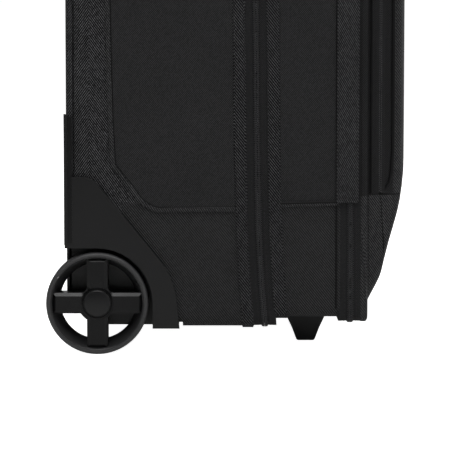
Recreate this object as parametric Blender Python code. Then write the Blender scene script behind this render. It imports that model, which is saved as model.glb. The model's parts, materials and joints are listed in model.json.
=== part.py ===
"""A two-wheel rolling laptop case, built as separate named pieces.

Frame: +X towards the front pockets, +Y across the case, +Z up.
The origin is on the floor, under the middle of the case's bounding box.
Every length below is in millimetres. add_piece() scales each mesh to metres once, when it is made.
"left" is the -Y side and "right" the +Y side.
"""

import math

import bmesh
import bpy
from mathutils import Matrix, Vector

MM = 0.001
X, Y, Z = 0, 1, 2
SIDES = {"left": -1, "right": 1}

# ---- Driving dimensions ------------------------------------------------------------------
GAP = 0.3                       # air left between two pieces that touch
CASE_TOP = 418.0                # top of the fabric case
BACK_X = -119.6                 # back face of the rear compartment
REAR_SPLIT_X = 21.5             # plane of the rear compartment's zip
LAPTOP_SPLIT_X = 87.8           # plane of the laptop compartment's zip
FRONT_FLAT_X = 100.6            # front face of the laptop compartment's lid
FLAP_ZIP_X = 109.5              # plane of the front pocket's zip
FRONT_X = 135.0                 # foremost point of the front pocket

REAR_HALF_WIDTH = 185.0
MID_HALF_WIDTH = 184.5
REAR_BOTTOM, MID_BOTTOM, LID_BOTTOM = 21.0, 27.0, 23.5
LOW_CORNER, HIGH_CORNER = 12.0, 38.0
WALL = 4.0
ZIP_HALF = 7.0                  # width of one side of a zip, tape and coil
ZIP_THICK = 1.6
BAND_THICK = 1.1

WHEEL_R, WHEEL_WIDTH = 37.5, 24.0
WHEEL_X, WHEEL_Z = -97.5, 37.5
WHEEL_OUTER_Y = 190.0
RIM_R = 33.7
AXLE_R = 3.2
ARCH_R, HOUSING_WALL = 41.0, 2.8
GUARD_Y = (185.3, 188.5)        # the wheel guard's plate, from inside to outside
WELL_Y = 160.0                  # inner face of the wheel housing

TUBE_X, TUBE_Y = -106.5, 85.0
ROD_Y = TUBE_Y + 4.5            # the push rods inside the inner tubes
TUBE_TOP = 387.0
GRIP_Z = (407.0, 425.0)
GRIP_HALF_LENGTH, GRIP_HALF_DEPTH = 104.0, 11.0

HANDLE_X, HANDLE_PIVOT_Z, HANDLE_HALF = -32.0, 424.0, 78.0
FLAP_SEAM_Z = 117.0             # the front pocket opens above this height
POCKET_TOP = 404.0

# ---- Materials: colour, roughness, metallic ----------------------------------------------
FINISHES = {
    "ballistic_nylon": ((0.018, 0.018, 0.019), 0.75, 0.0),
    "smooth_nylon": ((0.014, 0.014, 0.015), 0.6, 0.0),
    "webbing": ((0.016, 0.016, 0.017), 0.8, 0.0),
    "zip_coil": ((0.03, 0.03, 0.032), 0.35, 0.0),
    "guard_plastic": ((0.017, 0.017, 0.018), 0.5, 0.0),
    "wheel_rubber": ((0.022, 0.022, 0.023), 0.6, 0.0),
    "hub_plastic": ((0.016, 0.016, 0.017), 0.45, 0.0),
    "board": ((0.05, 0.05, 0.05), 0.7, 0.0),
    "anodised_aluminium": ((0.12, 0.12, 0.125), 0.35, 1.0),
    "steel": ((0.45, 0.45, 0.46), 0.3, 1.0),
    "gunmetal": ((0.08, 0.08, 0.085), 0.3, 1.0),
}


def material(name):
    """The Principled material of one finish, made the first time that it is asked for."""
    found = bpy.data.materials.get(name)
    if found:
        return found
    colour, roughness, metallic = FINISHES[name]
    made = bpy.data.materials.new(name)
    made.use_nodes = True
    shader = made.node_tree.nodes["Principled BSDF"]
    shader.inputs["Base Color"].default_value = (*colour, 1.0)
    shader.inputs["Roughness"].default_value = roughness
    shader.inputs["Metallic"].default_value = metallic
    return made


# ---- Objects -----------------------------------------------------------------------------
def add_group(name, x=0.0, y=0.0, z=0.0):
    """An empty at a joint's axis. The pieces that move with the joint are parented to it."""
    empty = bpy.data.objects.new(name, None)
    empty.location = Vector((x, y, z)) * MM
    bpy.context.scene.collection.objects.link(empty)
    return empty


def add_piece(name, shape, finish, group=None):
    """Makes an object from a bmesh drawn in the case's frame, with its origin on its group's empty."""
    origin = group.location.copy() if group else Vector()
    bmesh.ops.recalc_face_normals(shape, faces=shape.faces)
    bmesh.ops.transform(shape, matrix=Matrix.Diagonal((MM, MM, MM, 1.0)), verts=shape.verts)
    bmesh.ops.translate(shape, vec=-origin, verts=shape.verts)
    mesh = bpy.data.meshes.new(name)
    shape.to_mesh(mesh)
    shape.free()
    mesh.materials.append(material(finish))
    made = bpy.data.objects.new(name, mesh)
    bpy.context.scene.collection.objects.link(made)
    if group:
        made.parent = group
    return made


def round_off(piece, width, segments=2, limit=40.0):
    """Bevels the piece's edges that are sharper than the limit, in degrees."""
    bevel = piece.modifiers.new("rounding", "BEVEL")
    bevel.width = width * MM
    bevel.segments = segments
    bevel.limit_method = "ANGLE"
    bevel.angle_limit = math.radians(limit)
    return piece


def shade_round(piece, angle=35.0):
    """Shades the piece smooth across edges that are flatter than the angle, in degrees."""
    piece.data.shade_smooth()
    piece.data.set_sharp_from_angle(angle=math.radians(angle))
    return piece


def combine(piece, other, operation):
    """Adds another shape to the piece, or cuts it away, with an exact Boolean. The other becomes a guide."""
    other.hide_render = True
    other.display_type = "WIRE"
    boolean = piece.modifiers.new(operation.lower(), "BOOLEAN")
    boolean.operation = operation
    boolean.solver = "EXACT"
    boolean.object = other
    return piece


def cut(piece, shape, name):
    """Cuts a bmesh away from the piece."""
    return combine(piece, add_piece(name, shape, "board", piece.parent), "DIFFERENCE")


def join(piece, shape, name):
    """Joins a bmesh to the piece. The two overlap clearly."""
    return combine(piece, add_piece(name, shape, "board", piece.parent), "UNION")


# ---- Shapes ------------------------------------------------------------------------------
def outline(corners, steps=5):
    """Points round a closed outline. A corner is (a, b) or (a, b, radius), and a radius gives an arc."""
    points = []
    for i, corner in enumerate(corners):
        here = Vector(corner[:2])
        radius = corner[2] if len(corner) > 2 else 0.0
        if radius <= 0.0:
            points.append(here)
            continue
        back = (Vector(corners[i - 1][:2]) - here).normalized()
        ahead = (Vector(corners[(i + 1) % len(corners)][:2]) - here).normalized()
        half = back.angle(ahead) / 2
        centre = here + (back + ahead).normalized() * (radius / math.sin(half))
        start = here + back * (radius / math.tan(half)) - centre
        end = here + ahead * (radius / math.tan(half)) - centre
        turn = start.angle_signed(end)
        for step in range(steps + 1):
            angle = -turn * step / steps
            spoke = Vector((start.x * math.cos(angle) - start.y * math.sin(angle),
                            start.x * math.sin(angle) + start.y * math.cos(angle)))
            points.append(centre + spoke)
    return points


def at(axis, place, a, b):
    """A point at a place along one axis, with a and b along the other two in X, Y, Z order."""
    values = [a, b]
    values.insert(axis, place)
    return Vector(values)


def prism(corners, axis, low, high, steps=5):
    """A closed outline drawn across an axis and extruded along it."""
    shape = bmesh.new()
    base = shape.faces.new([shape.verts.new(at(axis, low, *p)) for p in outline(corners, steps)])
    grown = bmesh.ops.extrude_face_region(shape, geom=[base], use_keep_orig=True)
    top = [v for v in grown["geom"] if isinstance(v, bmesh.types.BMVert)]
    bmesh.ops.translate(shape, vec=at(axis, high - low, 0.0, 0.0), verts=top)
    return shape


def loft(rings):
    """A closed solid through rings of points that have equal counts, with a face over each end."""
    shape = bmesh.new()
    loops = [[shape.verts.new(p) for p in ring] for ring in rings]
    count = len(loops[0])
    for a, b in zip(loops, loops[1:]):
        for i in range(count):
            j = (i + 1) % count
            shape.faces.new((a[i], a[j], b[j], b[i]))
    shape.faces.new(loops[0])
    shape.faces.new(loops[-1])
    return shape


def box(x, y, z):
    """A box from three (low, high) pairs."""
    return prism([(y[0], z[0]), (y[1], z[0]), (y[1], z[1]), (y[0], z[1])], X, *x)


def merged(shapes):
    """One bmesh that holds several shapes as separate bodies."""
    whole = bmesh.new()
    for shape in shapes:
        scratch = bpy.data.meshes.new("scratch")
        shape.to_mesh(scratch)
        shape.free()
        whole.from_mesh(scratch)
        bpy.data.meshes.remove(scratch)
    return whole


def turned(profile, centre, axis=Y, sense=1, steps=40):
    """A closed profile of (radius, place) pairs, turned about a line through centre along an axis."""
    shape = bmesh.new()
    across = Z if axis != Z else X
    verts = []
    for radius, place in profile:
        point = Vector(centre)
        point[axis] += sense * place
        point[across] += radius
        verts.append(shape.verts.new(point))
    edges = [shape.edges.new((verts[i - 1], verts[i])) for i in range(len(verts))]
    direction = Vector((0.0, 0.0, 0.0))
    direction[axis] = 1.0
    bmesh.ops.spin(shape, geom=verts + edges, cent=centre, axis=direction,
                   angle=math.tau, steps=steps, use_merge=True)
    bmesh.ops.remove_doubles(shape, verts=shape.verts, dist=1e-4)
    bmesh.ops.dissolve_degenerate(shape, edges=shape.edges, dist=1e-4)
    return shape


def rod(radius, centre, axis, low, high, steps=16):
    """A plain cylinder along an axis, between two places on it."""
    middle = Vector(centre)
    middle[axis] = 0.0
    return turned([(0.0, low), (radius, low), (radius, high), (0.0, high)], middle, axis, 1, steps)


def span(side, near, far):
    """The (low, high) pair along Y of a stretch that is given by its distances from the middle."""
    return (near, far) if side > 0 else (-far, -near)


def case_ring(x, half_width, bottom, top, inset=0.0, steps=5):
    """One ring of the case: a rounded rectangle across X, drawn in by an inset."""
    low = max(LOW_CORNER - inset, 2.0)
    high = max(HIGH_CORNER - inset, 2.0)
    y, z0, z1 = half_width - inset, bottom + inset, top - inset
    corners = [(-y, z0, low), (y, z0, low), (y, z1, high), (-y, z1, high)]
    return [Vector((x, p.x, p.y)) for p in outline(corners, steps)]


def case_band(x0, x1, half_width, bottom, top, inset, thick):
    """A closed strip round the case, between two places along X."""
    size = (half_width, bottom, top)
    outer = [case_ring(x, *size, inset) for x in (x0, x1)]
    inner = [case_ring(x, *size, inset + thick) for x in (x1, x0)]
    shape = bmesh.new()
    loops = [[shape.verts.new(p) for p in ring] for ring in outer + inner]
    count = len(loops[0])
    for k, loop in enumerate(loops):
        following = loops[(k + 1) % len(loops)]
        for i in range(count):
            j = (i + 1) % count
            shape.faces.new((loop[i], loop[j], following[j], following[i]))
    return shape


# ---- Rear compartment --------------------------------------------------------------------
def well_outline(grow):
    """The space of a wheel housing in side view, grown outwards by a margin."""
    wall = HOUSING_WALL + grow
    return [(-140.0, 5.0), (-37.0 + grow, 5.0), (-37.0 + grow, 23.5 + grow),
            (WHEEL_X + ARCH_R + wall, 23.5 + grow),
            (WHEEL_X + ARCH_R + wall, WHEEL_Z + ARCH_R + wall, ARCH_R + wall),
            (-140.0, WHEEL_Z + ARCH_R + wall)]


def build_rear_compartment():
    """The fabric box at the back, open to the front, with the board that stiffens its back."""
    size = (REAR_HALF_WIDTH, REAR_BOTTOM, CASE_TOP)
    front = REAR_SPLIT_X - ZIP_HALF - GAP
    rounding = [(0.0, 7.0), (2.0, 2.5), (7.0, 0.0), (front - BACK_X, 0.0)]
    shell = add_piece("rear_shell", loft([case_ring(BACK_X + x, *size, inset) for x, inset in rounding]),
                      "ballistic_nylon")
    shade_round(shell)
    hollow = loft([case_ring(x, *size, WALL) for x in (BACK_X + WALL, front + 10.0)])
    room = add_piece("rear_hollow", hollow, "board")
    for name, side in SIDES.items():
        wall = prism(well_outline(3.5), Y, *span(side, WELL_Y - 9.0, 200.0), steps=10)
        cut(room, wall, f"rear_well_wall_{name}")
    combine(shell, room, "DIFFERENCE")
    for name, side in SIDES.items():
        cut(shell, prism(well_outline(GAP), Y, *span(side, WELL_Y - 5.5, 200.0), steps=10), f"rear_well_{name}")
    cut(shell, box((-140.0, BEZEL_X[1] + GAP), (-BEZEL_HALF - GAP, BEZEL_HALF + GAP),
                   (BEZEL_Z[0] - GAP, 440.0)), "rear_bezel_seat")
    cut(shell, merged([screw_hole(BACK_X, side * GUARD_SCREW[0], GUARD_SCREW[1], X) for side in SIDES.values()]),
        "rear_guard_holes")

    board = box((-97.0, -94.0), (-178.0, 178.0), (27.0, 384.0))
    board = add_piece("back_board", board, "board")
    for name, side in SIDES.items():
        cut(board, prism(well_outline(5.0), Y, *span(side, WELL_Y - 11.0, 200.0), steps=10), f"board_notch_{name}")


def build_band(name, x0, x1, half_width, bottom, group=None):
    """A webbing band that lies round the case beside a zip."""
    strip = case_band(x0, x1, half_width, bottom, CASE_TOP, -GAP - BAND_THICK, BAND_THICK)
    return shade_round(add_piece(name, strip, "webbing", group))


def build_zip_half(name, x0, x1, half_width, bottom, group=None):
    """One side of a zip that runs up both sides of the case and over its top."""
    strip = case_band(x0, x1, half_width, bottom, CASE_TOP, 0.0, ZIP_THICK)
    piece = shade_round(add_piece(name, strip, "zip_coil", group))
    opening = box((x0 - 5.0, x1 + 5.0), (-140.3, 140.3), (bottom - 5.0, bottom + 8.0))
    return cut(piece, opening, f"{name}_end")


# ---- Wheels and their housings -----------------------------------------------------------
SCREW_R, SCREW_HEAD_R, SCREW_HEAD = 1.5, 3.2, 1.5
GUARD_SCREW = (158.0, 108.0)    # how far out and how high each wheel guard is screwed to the back
FOOT_SCREW = (57.5, 88.0)       # where each foot is screwed on, along X and out from the middle


def screw_hole(x, y, z, axis, reach=12.0):
    """A clearance hole for a screw, to either side of a place."""
    middle = (x, y, z)[axis]
    return rod(SCREW_R + GAP, (x, y, z), axis, middle - reach, middle + reach, 10)


def build_housing(name, side):
    """A wheel housing: the guard plate outside, the arch over the wheel, and the inner wall."""
    back, right = WHEEL_X + ARCH_R, WHEEL_Z + ARCH_R
    lip = 0.5
    guard = [(-121.1, 130.0), (-101.0, 130.0, 13.0), (-41.1, 56.3, 57.0), (-37.3, 19.0), (back - lip, 19.0),
             (back - lip, right - lip, ARCH_R - lip), (-121.1, right - lip)]
    piece = add_piece(f"wheel_housing_{name}", prism(guard, Y, *span(side, *GUARD_Y), steps=10), "guard_plastic")
    thick = HOUSING_WALL
    arch = [(back, 19.4), (back + thick, 19.4), (back + thick, right + thick, ARCH_R + thick),
            (-119.3, right + thick), (-119.3, right), (back, right, ARCH_R)]
    join(piece, prism(arch, Y, *span(side, WELL_Y + 0.4, 187.0), steps=10), f"arch_{name}")
    edge = thick - 0.4
    wall = [(-119.1, right + edge), (-119.1, 42.0), (-114.0, 42.0), (-114.0, 19.8, 17.0),
            (back + edge, 19.8), (back + edge, right + edge, ARCH_R + edge)]
    join(piece, prism(wall, Y, *span(side, WELL_Y, WELL_Y + 3.0), steps=10), f"inner_wall_{name}")
    join(piece, box((back + 0.3, -38.0), span(side, WELL_Y + 0.2, 186.5), (19.2, 22.4)), f"bottom_lip_{name}")
    wrap = [(side * 150.0, 84.0), (side * 187.0, 84.0), (side * 187.0, 129.5), (side * 150.0, 129.5)]
    join(piece, prism(wrap, X, -121.0, -119.9), f"back_wrap_{name}")
    join(piece, rod(12.0, (WHEEL_X, 0.0, WHEEL_Z), Y, *span(side, WELL_Y + 1.0, 165.6), steps=24), f"boss_{name}")
    cut(piece, rod(AXLE_R + GAP, (WHEEL_X, 0.0, WHEEL_Z), Y, *span(side, 150.0, 175.0)), f"axle_hole_{name}")
    cut(piece, screw_hole(BACK_X, side * GUARD_SCREW[0], GUARD_SCREW[1], X), f"guard_hole_{name}")
    add_piece(f"guard_screw_{name}", screw((-121.1 - GAP, side * GUARD_SCREW[0], GUARD_SCREW[1]), X, -1, 5.0),
              "steel")


def cross_outline():
    """The four spokes as one closed outline in the wheel's plane, with filleted inner corners."""
    reach, half, fillet = 33.0, 5.8, 3.5
    arm = [(reach, -half), (reach, half), (half, half, fillet)]
    points = []
    for quarter in range(4):
        turn = Matrix.Rotation(math.pi / 2 * quarter, 2)
        for x, z, *radius in arm:
            spot = turn @ Vector((x, z))
            points.append((spot.x + WHEEL_X, spot.y + WHEEL_Z, *radius))
    return points


def build_wheel(name, side):
    """A wheel that turns on a fixed axle, riveted to its housing: tyre, spoked hub, bush and cap."""
    inner = WHEEL_OUTER_Y - WHEEL_WIDTH
    group = add_group(f"wheel_{name}_axis", WHEEL_X, side * (WHEEL_OUTER_Y - WHEEL_WIDTH / 2), WHEEL_Z)
    centre = (WHEEL_X, side * inner, WHEEL_Z)

    tread = [(RIM_R + GAP, 1.5), (36.0, 0.6), (37.2, 2.2), (WHEEL_R, 5.0), (WHEEL_R, 19.0),
             (37.2, 21.8), (35.8, 23.4), (RIM_R + GAP, 22.6)]
    tyre = add_piece(f"tyre_{name}", turned(tread, centre, Y, side, 48), "wheel_rubber", group)

    rim = [(27.5, 1.6), (RIM_R, 1.6), (RIM_R, 22.6), (32.8, 22.4)]
    hub = add_piece(f"hub_{name}", turned(rim, centre, Y, side, 48), "hub_plastic", group)
    spokes = prism(cross_outline(), Y, *span(side, inner + 3.0, inner + 21.5), steps=4)
    join(hub, spokes, f"spokes_{name}")
    join(hub, rod(12.0, (WHEEL_X, 0.0, WHEEL_Z), Y, *span(side, inner + 1.0, inner + 21.7), steps=32),
         f"hub_boss_{name}")
    bore = [(0.0, -2.0), (7.6, -2.0), (7.6, 3.2), (6.3, 3.2), (6.3, 20.0), (10.3, 20.0), (10.3, 25.0), (0.0, 25.0)]
    cut(hub, turned(bore, centre, Y, side, 24), f"hub_bore_{name}")

    sleeve = [(AXLE_R + 0.2, 1.3), (7.3, 1.3), (7.3, 2.9), (6.0, 2.9), (6.0, 15.8), (AXLE_R + 0.2, 15.8)]
    bush = add_piece(f"wheel_bush_{name}", turned(sleeve, centre, Y, side, 20), "steel", group)
    dome = [(0.0, 20.3), (9.9, 20.3), (9.9, 22.0), (9.0, 22.9), (5.0, 23.4), (0.0, 23.5)]
    cap = add_piece(f"hub_cap_{name}", turned(dome, centre, Y, side, 32), "hub_plastic", group)
    pin = [(0.0, -10.5), (6.0, -10.5), (6.0, -6.4), (AXLE_R, -6.4), (AXLE_R, 16.2), (5.8, 16.2), (5.8, 19.4),
           (0.0, 19.4)]
    axle = add_piece(f"axle_{name}", turned(pin, centre, Y, side, 16), "steel")
    for piece in (tyre, hub, bush, cap, axle):
        shade_round(piece)


def screw(place, axis, head_side, length):
    """A pan-head screw whose head's inner face is at the place, with its shank the other way."""
    profile = [(0.0, -length), (SCREW_R, -length), (SCREW_R, 0.0), (SCREW_HEAD_R, 0.0),
               (SCREW_HEAD_R, SCREW_HEAD * 0.6), (SCREW_HEAD_R * 0.7, SCREW_HEAD), (0.0, SCREW_HEAD)]
    return turned(profile, place, axis, head_side, 10)


# ---- Base --------------------------------------------------------------------------------
def build_base_tray():
    """The moulded tray between the wheel housings, which takes the wear under the case."""
    tray = box((-117.0, -38.0), (-WELL_Y + GAP, WELL_Y - GAP), (18.6, REAR_BOTTOM - GAP))
    round_off(add_piece("base_tray", tray, "guard_plastic"), 0.8, 1)


# ---- Telescopic handle -------------------------------------------------------------------
BEZEL_X, BEZEL_HALF, BEZEL_Z = (-120.6, -77.0), 111.0, (TUBE_TOP + GAP, CASE_TOP + 1.5)
BEZEL_FLOOR = 3.0
TUBES = {"outer": (24.0, 14.0, 1.0), "middle": (21.2, 11.2, 1.0), "inner": (18.4, 8.4, 1.2)}


def tube_ring(y, grow, width, depth, corner=3.0):
    """The rounded section of a tube across Z, grown by a margin."""
    a, b = depth / 2 + grow, width / 2 + grow
    r = max(corner + grow, 0.8)
    return [(TUBE_X - a, y - b, r), (TUBE_X + a, y - b, r), (TUBE_X + a, y + b, r), (TUBE_X - a, y + b, r)]


def tube(stage, y, low, high):
    """One tube of a stage, as a closed wall between its outside and its bore."""
    width, depth, wall = TUBES[stage]
    shape = bmesh.new()
    loops = []
    for grow, z in ((0.0, low), (0.0, high), (-wall, high), (-wall, low)):
        points = outline(tube_ring(y, grow, width, depth), 3)
        loops.append([shape.verts.new((p.x, p.y, z)) for p in points])
    count = len(loops[0])
    for k, loop in enumerate(loops):
        following = loops[(k + 1) % 4]
        for i in range(count):
            j = (i + 1) % count
            shape.faces.new((loop[i], loop[j], following[j], following[i]))
    return shape


def build_handle():
    """The two-stage handle: fixed outer tubes, two sliding stages, the grip and its release."""
    first = add_group("handle_stage_1", TUBE_X, 0.0, TUBE_TOP)
    second = add_group("handle_stage_2", TUBE_X, 0.0, GRIP_Z[0])
    release = add_group("release_axis", TUBE_X, 0.0, GRIP_Z[1])
    width, depth, _ = TUBES["inner"]
    pin_z = 50.0
    for name, side in SIDES.items():
        y = side * TUBE_Y
        shade_round(add_piece(f"outer_tube_{name}", tube("outer", y, 26.5, TUBE_TOP), "anodised_aluminium"))
        middle = add_piece(f"middle_tube_{name}", tube("middle", y, 30.0, 392.0), "anodised_aluminium", first)
        collar = prism(tube_ring(y, 0.0, 24.0, 14.0), Z, TUBE_TOP + 4.0, 395.0, 3)
        join(middle, collar, f"collar_{name}")
        cut(middle, prism(tube_ring(y, 0.4, width, depth), Z, 380.0, 400.0, 3), f"collar_bore_{name}")
        inner = add_piece(f"inner_tube_{name}", tube("inner", y, 34.0, 411.2), "anodised_aluminium", second)
        join(inner, box((TUBE_X - 3.4, TUBE_X + 3.4), (y - 8.4, y + 8.4), (38.0, 58.0)), f"plug_{name}")
        cut(inner, rod(2.3, (TUBE_X, 0.0, pin_z), Y, *sorted((y - side * 12.0, y + side * 6.5)), 12),
            f"pin_way_{name}")
        cut(inner, rod(2.0, (TUBE_X, side * ROD_Y, 0.0), Z, 53.6, 62.0, 10), f"rod_seat_{name}")
        pin_group = add_group(f"lock_pin_{name}_axis", TUBE_X, y, pin_z)
        pin = rod(1.9, (TUBE_X, 0.0, pin_z), Y, *sorted((y - side * 8.8, y + side * 3.0)), 10)
        add_piece(f"lock_pin_{name}", pin, "steel", pin_group)
        for piece in (middle, inner):
            shade_round(piece)

    bracket = box((TUBE_X - 8.2, TUBE_X + 9.2), (-105.0, 105.0), (25.3, 26.2))
    bracket = add_piece("tube_bracket", bracket, "steel")
    for name, side in SIDES.items():
        block = prism(tube_ring(side * TUBE_Y, -4.0, 24.0, 14.0), Z, 25.5, 29.5, 3)
        join(bracket, block, f"bracket_foot_{name}")

    bezel = add_piece("handle_bezel", prism([(BEZEL_X[0], -BEZEL_HALF, 5.0), (BEZEL_X[1], -BEZEL_HALF, 14.0),
                                             (BEZEL_X[1], BEZEL_HALF, 14.0), (BEZEL_X[0], BEZEL_HALF, 5.0)],
                                            Z, *BEZEL_Z, steps=4), "guard_plastic")
    cup = [(BEZEL_X[0] + 2.2, -BEZEL_HALF + 4.5, 3.0), (BEZEL_X[1] - 2.5, -BEZEL_HALF + 4.5, 12.0),
           (BEZEL_X[1] - 2.5, BEZEL_HALF - 4.5, 12.0), (BEZEL_X[0] + 2.2, BEZEL_HALF - 4.5, 3.0)]
    cut(bezel, prism(cup, Z, BEZEL_Z[0] + BEZEL_FLOOR, 440.0, steps=4), "bezel_cup")
    width, depth, _ = TUBES["middle"]
    ways = [prism(tube_ring(side * TUBE_Y, 0.4, width, depth), Z, 380.0, 400.0, 3) for side in SIDES.values()]
    cut(bezel, merged(ways), "bezel_tube_ways")
    shade_round(bezel)
    build_grip(second, release)


def build_grip(group, release):
    """The grip's two shells, its button with the push rods, and the button's spring."""
    half_x, half_y = GRIP_HALF_DEPTH, GRIP_HALF_LENGTH
    middle = GRIP_Z[0] + 8.0
    ring = [(TUBE_X - half_x, -half_y, 7.0), (TUBE_X + half_x, -half_y, 7.0),
            (TUBE_X + half_x, half_y, 7.0), (TUBE_X - half_x, half_y, 7.0)]
    lower = add_piece("grip_lower", prism(ring, Z, GRIP_Z[0], middle, 4), "guard_plastic", group)
    round_off(lower, 2.0, 2, 60.0)
    width, depth, _ = TUBES["inner"]
    sockets = [prism(tube_ring(side * TUBE_Y, GAP, width, depth), Z, 400.0, 411.5, 3) for side in SIDES.values()]
    cut(lower, merged(sockets), "grip_sockets")
    upper = add_piece("grip_upper", prism(ring, Z, middle + GAP, GRIP_Z[1], 4), "guard_plastic", group)
    round_off(upper, 3.0, 2, 60.0)
    well = ((TUBE_X - 7.4, TUBE_X + 7.4), (-22.4, 22.4))
    cut(upper, box(*well, (middle - 5.0, 440.0)), "button_well")
    channel = box((TUBE_X - 3.0, TUBE_X + 3.0), (-92.5, 92.5), (middle - 3.6, middle + 3.6))
    cut(upper, channel, "rod_channel_upper")
    cut(lower, box((TUBE_X - 3.0, TUBE_X + 3.0), (-92.5, 92.5), (middle - 4.0, middle + 3.6)), "rod_channel_lower")
    cut(lower, rod(2.8, (TUBE_X, 0.0, 0.0), Z, middle - 6.5, middle - 3.0, 16), "spring_pocket")
    rods = [rod(2.2, (TUBE_X, side * ROD_Y, 0.0), Z, 400.0, 420.0, 10) for side in SIDES.values()]
    cut(lower, merged(rods), "rod_ways")

    button = box((TUBE_X - 7.0, TUBE_X + 7.0), (-22.0, 22.0), (middle + 4.0, GRIP_Z[1] + 0.6))
    button = add_piece("release_button", button, "hub_plastic", release)
    stem = prism([(TUBE_X - 2.0, -4.0), (TUBE_X + 2.0, -4.0), (TUBE_X + 2.0, 4.0), (TUBE_X - 2.0, 4.0)],
                 Z, middle + 1.4, middle + 6.0)
    join(button, stem, "button_stem")
    bar = add_piece("push_rods", box((TUBE_X - 2.2, TUBE_X + 2.2), (-91.5, 91.5), (middle - 0.4, middle + 1.1)),
                    "steel", release)
    for name, side in SIDES.items():
        leg = rod(1.2, (TUBE_X, side * ROD_Y, 0.0), Z, 61.0, middle + 0.5, 8)
        join(bar, leg, f"push_rod_leg_{name}")
    add_piece("button_spring", spring(middle - 6.2, middle - 0.7, 1.7, 0.35), "steel", group)


def spring(low, high, radius, wire, turns=2.5):
    """A short coil spring on the grip's centre line, as a swept ring of points."""
    steps, sides = int(turns * 10), 5
    rings = []
    for step in range(steps + 1):
        share = step / steps
        angle = math.tau * turns * share
        out = Vector((math.cos(angle), math.sin(angle), 0.0))
        centre = Vector((TUBE_X, 0.0, low + wire + (high - low - 2 * wire) * share)) + out * radius
        rings.append([centre + out * (wire * math.cos(math.tau * k / sides))
                      + Vector((0.0, 0.0, wire * math.sin(math.tau * k / sides))) for k in range(sides)])
    return loft(rings)


# ---- Carry handle ------------------------------------------------------------------------
def build_carry_handle():
    """The padded top handle, which tilts on two anchors."""
    group = add_group("carry_handle_axis", HANDLE_X, 0.0, HANDLE_PIVOT_Z)
    rise = CASE_TOP + 24.0 - HANDLE_PIVOT_Z
    rings = []
    count, sides = 14, 10
    for step in range(count + 1):
        share = step / count
        y = -HANDLE_HALF + 2 * HANDLE_HALF * share
        bow = math.sin(math.pi * share)
        lift = rise * min(1.0, bow * 1.35) ** 0.7
        radius = 4.2 + 3.8 * min(1.0, bow * 1.4) ** 1.5
        rings.append([Vector((HANDLE_X + 1.5 * radius * math.cos(math.tau * k / sides), y,
                              HANDLE_PIVOT_Z + lift + radius * math.sin(math.tau * k / sides)))
                      for k in range(sides)])
    shade_round(add_piece("carry_handle", loft(rings), "webbing", group), 60.0)
    for name, side in SIDES.items():
        near, far = side * (HANDLE_HALF + 0.4), side * (HANDLE_HALF + 24.0)
        slope = side * (HANDLE_HALF + 18.0)
        view = [(near, CASE_TOP + GAP), (far, CASE_TOP + GAP), (far, CASE_TOP + 4.0), (slope, CASE_TOP + 11.0),
                (near, CASE_TOP + 11.0)]
        add_piece(f"handle_anchor_{name}", prism(view, X, HANDLE_X - 11.0, HANDLE_X + 11.0), "guard_plastic")


# ---- Laptop compartment ------------------------------------------------------------------
def build_laptop_compartment(group):
    """The middle box, which is the rear compartment's lid and holds the laptop."""
    size = (MID_HALF_WIDTH, MID_BOTTOM, CASE_TOP)
    x0, x1 = REAR_SPLIT_X + ZIP_HALF + GAP, LAPTOP_SPLIT_X - ZIP_HALF - GAP
    shell = add_piece("mid_shell", loft([case_ring(x, *size) for x in (x0, x1)]), "ballistic_nylon", group)
    shade_round(shell)
    cut(shell, loft([case_ring(x, *size, WALL) for x in (x0 + 3.0, x1 + 10.0)]), "mid_hollow")
    x, out = FOOT_SCREW
    cut(shell, merged([screw_hole(x, side * out, MID_BOTTOM, Z) for side in SIDES.values()]), "mid_foot_holes")
    pad = [(-150.0, 60.0, 12.0), (150.0, 60.0, 12.0), (150.0, 330.0, 12.0), (-150.0, 330.0, 12.0)]
    add_piece("laptop_pad", prism(pad, X, x0 + 3.3, x0 + 9.0, 3), "smooth_nylon", group)


def build_feet(group):
    """Two tapered feet under the laptop compartment, each held by a screw from inside."""
    top = MID_BOTTOM - GAP
    side_view = [(42.6, top), (43.0, 18.5), (47.2, 9.5), (50.8, 0.0, 2.0), (64.2, 0.0, 2.0), (67.8, 9.5),
                 (72.0, 18.5), (72.4, top)]
    x, out = FOOT_SCREW
    for name, side in SIDES.items():
        foot = prism(side_view, Y, *span(side, out - 18.0, out + 18.0), steps=3)
        foot = add_piece(f"foot_{name}", foot, "hub_plastic", group)
        cut(foot, screw_hole(x, side * out, top, Z), f"foot_hole_{name}")
        add_piece(f"foot_screw_{name}", screw((x, side * out, MID_BOTTOM + WALL + GAP), Z, 1, 14.0), "steel", group)


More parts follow.
